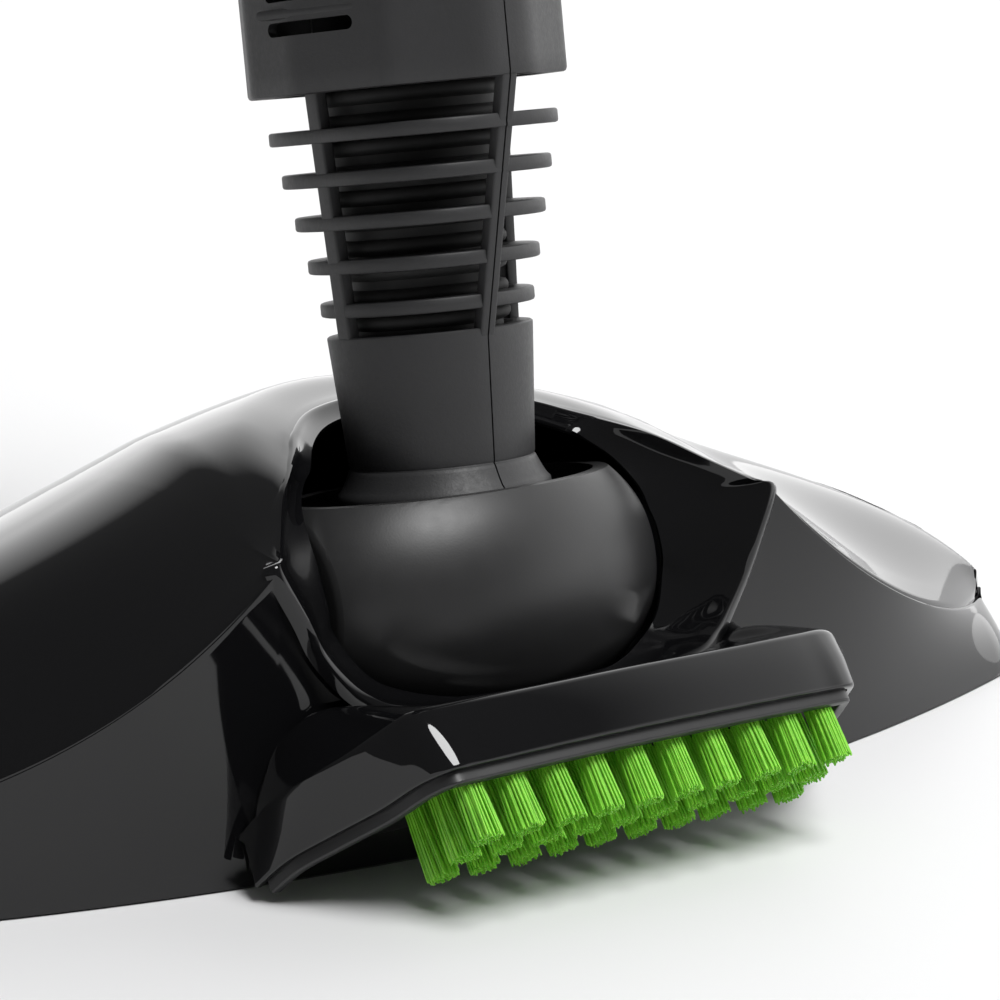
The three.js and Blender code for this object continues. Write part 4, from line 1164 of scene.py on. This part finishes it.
# ------------------------------------------------------------------ handle
def make_handle():
    joint, outside, inside = TUBE_JOINT, TUBE_RADIUS, 9.5
    lower = [(inside, TUBE_FOOT), (outside, TUBE_FOOT), (outside, joint - 0.4), (11.6, joint),
             (inside, joint)]
    upper = [(7, joint - 60), (9.1, joint - 60), (9.1, joint + 0.4), (11.6, joint + 0.4),
             (outside, joint + 0.8), (outside, TUBE_TOP), (7, TUBE_TOP)]
    around = [math.pi * i / 20 for i in range(40)]
    hole = [[(4.4 * math.cos(a), y, BUTTON_Z + 4.4 * math.sin(a)) for a in around] for y in (-30, 0)]
    for level, node, profile in (("low", "lower", lower), ("high", "upper", upper)):
        tube = lathe_piece("handle_tube_" + level, profile, "steel", "mast", ["handle_tube_" + node])
        hollowed(tube, loft(hole))
        smooth(tube, 35)
    button = [(0.2, -15), (2.6, -15), (3.6, -14.4), (4, -13.4), (4, -10), (0.2, -10)]
    lathe_piece("joint_button_cap", button, "accent_green", "button", ["joint_button"], "Y", z=BUTTON_Z,
                sides=40)

    def collar(name, node, foot, head, outer):
        profile = [(CLAMP_BORE, foot), (outer - 1.5, foot), (outer - 0.4, foot + 0.6), (outer, foot + 2)]
        ribs = 5
        for i in range(ribs):
            z = foot + 4 + (head - foot - 8) * i / ribs
            profile += [(outer, z), (outer - 0.5, z + 0.5), (outer - 0.5, z + 1.3), (outer, z + 1.8)]
        profile += [(outer, head - 2), (outer - 0.4, head - 0.6), (outer - 1.5, head), (CLAMP_BORE, head)]
        lathe_piece(name, profile, "satin_black", "mast", [node])

    collar("tube_collar_ribbed", "tube_collar", TUBE_JOINT + 4, TUBE_JOINT + 34, 15)
    collar("body_collar_ribbed", "body_collar", BODY_TOP + 0.4, BODY_TOP + 22, 18)


GRIP_HALF = 14
GRIP_OUTSIDE = [(-18, 920), (-24, 950), (-40, 985), (-51, 1020), (-48, 1052), (-28, 1071), (0, 1074.95),
                (26, 1064), (38, 1035), (35, 995), (24, 950), (18, 920)]
GRIP_HOLE = [(-22, 992), (-12, 972), (2, 968), (14, 992), (18, 1024), (10, 1046), (-8, 1051),
             (-25, 1040), (-29, 1018)]


def make_grip():
    """Loop with a rounded section, split into two halves, with a soft pad let into its back."""
    count = 160
    outside = spline([(0, y, z) for y, z in GRIP_OUTSIDE], count)
    inside_loop = spline([(0, y, z) for y, z in GRIP_HOLE], count, closed=True)
    centre = Vector((0, -5, 1012))

    def nearest(direction, loop):
        return max(loop, key=lambda p: (p - centre).normalized().dot(direction))

    loops = []
    steps = 120
    for i in range(steps):
        angle = -math.pi / 2 + 2 * math.pi * i / steps
        direction = Vector((0, math.cos(angle), math.sin(angle)))
        out, hole = nearest(direction, outside), nearest(direction, inside_loop)
        if angle < -math.pi / 2 + 0.35 or angle > 1.5 * math.pi - 0.35:
            out = centre + direction * min(72, (out - centre).length)
        middle, half = out.lerp(hole, 0.5), (out - hole).length / 2
        ring = []
        for u, v, _ in oval(GRIP_HALF, half, 0, 3.0, 40):
            ring.append(Vector((u, 0, 0)) + middle + direction * v)
        loops.append(ring)
    loop = loft(loops, ring=True)
    stem_rows = [(17, 17, 876, 2), (17.6, 17.6, 878, 2), (18, 18, 896, 2.1), (16.5, 18, 915, 2.3),
                 (14.6, 19.5, 935, 2.7), (13.6, 23, 952, 3), (12.5, 25, 966, 3)]
    stem = loft([oval(a, b, z, p, 72) for a, b, z, p in stem_rows])
    for name, side in (("left", -1), ("right", 1)):
        piece = helper(*loop, place=MAST)
        joined(piece, helper(*stem, place=MAST), "UNION")
        socket = turned([(0.01, 870), (12.35, 870), (12.35, 905.4), (0.01, 905.4)], 48)
        hollowed(piece, socket, brick(0, -61, 1018, 60, 38.6, 64.6), brick(0, -25, 1010, 10.7, 19, 39))
        keep = brick(side * (100 + HALF_GAP), 0, 1000, 200, 300, 600)
        joined(piece, helper(*keep, place=MAST), "INTERSECT")
        adopt(piece, "grip_half_" + name, "satin_black", "mast", "grip_shell_" + name, 35)
    pad = helper(*loop, place=MAST)
    joined(pad, helper(*brick(0, -62, 1018, 60, 40, 64), place=MAST), "INTERSECT")
    adopt(pad, "soft_grip_pad", "rubber", "mast", "soft_grip", 35)
    lever = [(-31, 1028), (-26, 1028.8), (-22, 1028.6), (-19.2, 1021), (-17.4, 1012), (-16.8, 1003),
             (-18.2, 994.5), (-22, 992.8), (-27, 992.6), (-30, 1010)]
    soften(make("trigger_lever", *loft([[(x, y, z) for y, z in lever] for x in (-5, 5)]),
                "accent_green", "trigger", ["steam_trigger"], place=MAST), 1.2, 3, 50)


# ------------------------------------------------------------------ inner and small parts
def finish_frame_nodes():
    """Parts of the frame that stay as they are take this script's materials."""
    slots = {row["node"]: row["material_slot"] for row in frame["record"]["subparts"]}
    for name, node in frame["nodes"].items():
        material = MATERIALS[slots[name]]
        for index in range(len(node.material_slots)):
            node.material_slots[index].link = "OBJECT"
            node.material_slots[index].material = material


# ------------------------------------------------------------------ floor, light and camera
def make_stage():
    """Wide pale floor."""
    size = 9.0
    mesh = bpy.data.meshes.new("studio_floor")
    mesh.from_pydata([(-size, -size, 0), (size, -size, 0), (size, size, 0), (-size, size, 0)], [],
                     [(0, 1, 2, 3)])
    floor = bpy.data.objects.new("studio_floor", mesh)
    bpy.context.scene.collection.objects.link(floor)
    material, tree, shader = new_material("studio_floor", (0.8, 0.8, 0.805), 0.6)
    tint(tree, shader, noise(tree, 1.2, 2), (0.79, 0.79, 0.795), (0.81, 0.81, 0.815))
    mesh.materials.append(material)


BRIGHT_SIDE = (0.970, 0.240, -0.5)
OVERHEAD_AIM = Vector((-0.05, 0.52, -1))
OVERHEAD_STRENGTH, OVERHEAD_SPREAD = 2.9, 28


def make_lights():
    """Bright surround ahead and to the right, dark to the left and behind, and a broad light overhead."""
    world = bpy.data.worlds.new("studio")
    bpy.context.scene.world = world
    world.use_nodes = True
    tree = world.node_tree
    facing = tree.nodes.new("ShaderNodeVectorMath")
    facing.operation = "DOT_PRODUCT"
    facing.inputs[1].default_value = BRIGHT_SIDE
    tree.links.new(tree.nodes.new("ShaderNodeTexCoord").outputs["Generated"], facing.inputs[0])
    level = ramp(tree, facing.outputs["Value"], 0.12, 1.95, 0.05, 0.42)
    tree.links.new(level, tree.nodes["Background"].inputs["Strength"])
    tree.nodes["Background"].inputs["Color"].default_value = (1, 1, 1, 1)
    light = bpy.data.lights.new("overhead", "SUN")
    light.energy = OVERHEAD_STRENGTH
    light.angle = math.radians(OVERHEAD_SPREAD)
    lamp = bpy.data.objects.new("overhead", light)
    lamp.rotation_euler = OVERHEAD_AIM.to_track_quat("-Z", "Y").to_euler()
    bpy.context.scene.collection.objects.link(lamp)


def make_camera():
    """Three quarters from behind the left wing, low, looking at the neck and the brush."""
    yaw, pitch, roll = math.radians(34.74), math.radians(13.474), math.radians(-0.123)
    ahead = Vector((math.sin(yaw) * math.cos(pitch), math.cos(yaw) * math.cos(pitch), -math.sin(pitch)))
    right = Vector((math.cos(yaw), -math.sin(yaw), 0))
    up = right.cross(ahead)
    right, up = (math.cos(roll) * right + math.sin(roll) * up, math.cos(roll) * up - math.sin(roll) * right)
    data = bpy.data.cameras.new("camera")
    data.sensor_width = 36
    data.lens = 129.64
    data.clip_start = 0.01
    camera = bpy.data.objects.new("camera", data)
    turn = Matrix((right, up, -ahead)).transposed().to_4x4()
    camera.matrix_world = Matrix.Translation(Vector((-388.2, -637.16, 227.56)) * MM) @ turn
    bpy.context.scene.collection.objects.link(camera)
    bpy.context.scene.camera = camera


bpy.context.scene.view_settings.view_transform = "Standard"
make_camera()
make_lights()
make_stage()
finish_frame_nodes()
make_cover()
for wing_side, wing_name in ((-1, "left"), (1, "right")):
    make_pocket(wing_side, wing_name)
make_base()
make_cradle()
make_hood()
make_brush_insert()
make_bristles()
make_barrel()
make_neck()
make_body()
make_tank()
make_controls()
make_hook("lower_hook", "cord_hook_lower", "mast", HOOK_Z, -1, -48, 9)
make_hook("upper_hook", "cord_hook_upper", "hook", 850, 1, -14, 1.4)
make_handle()
make_grip()
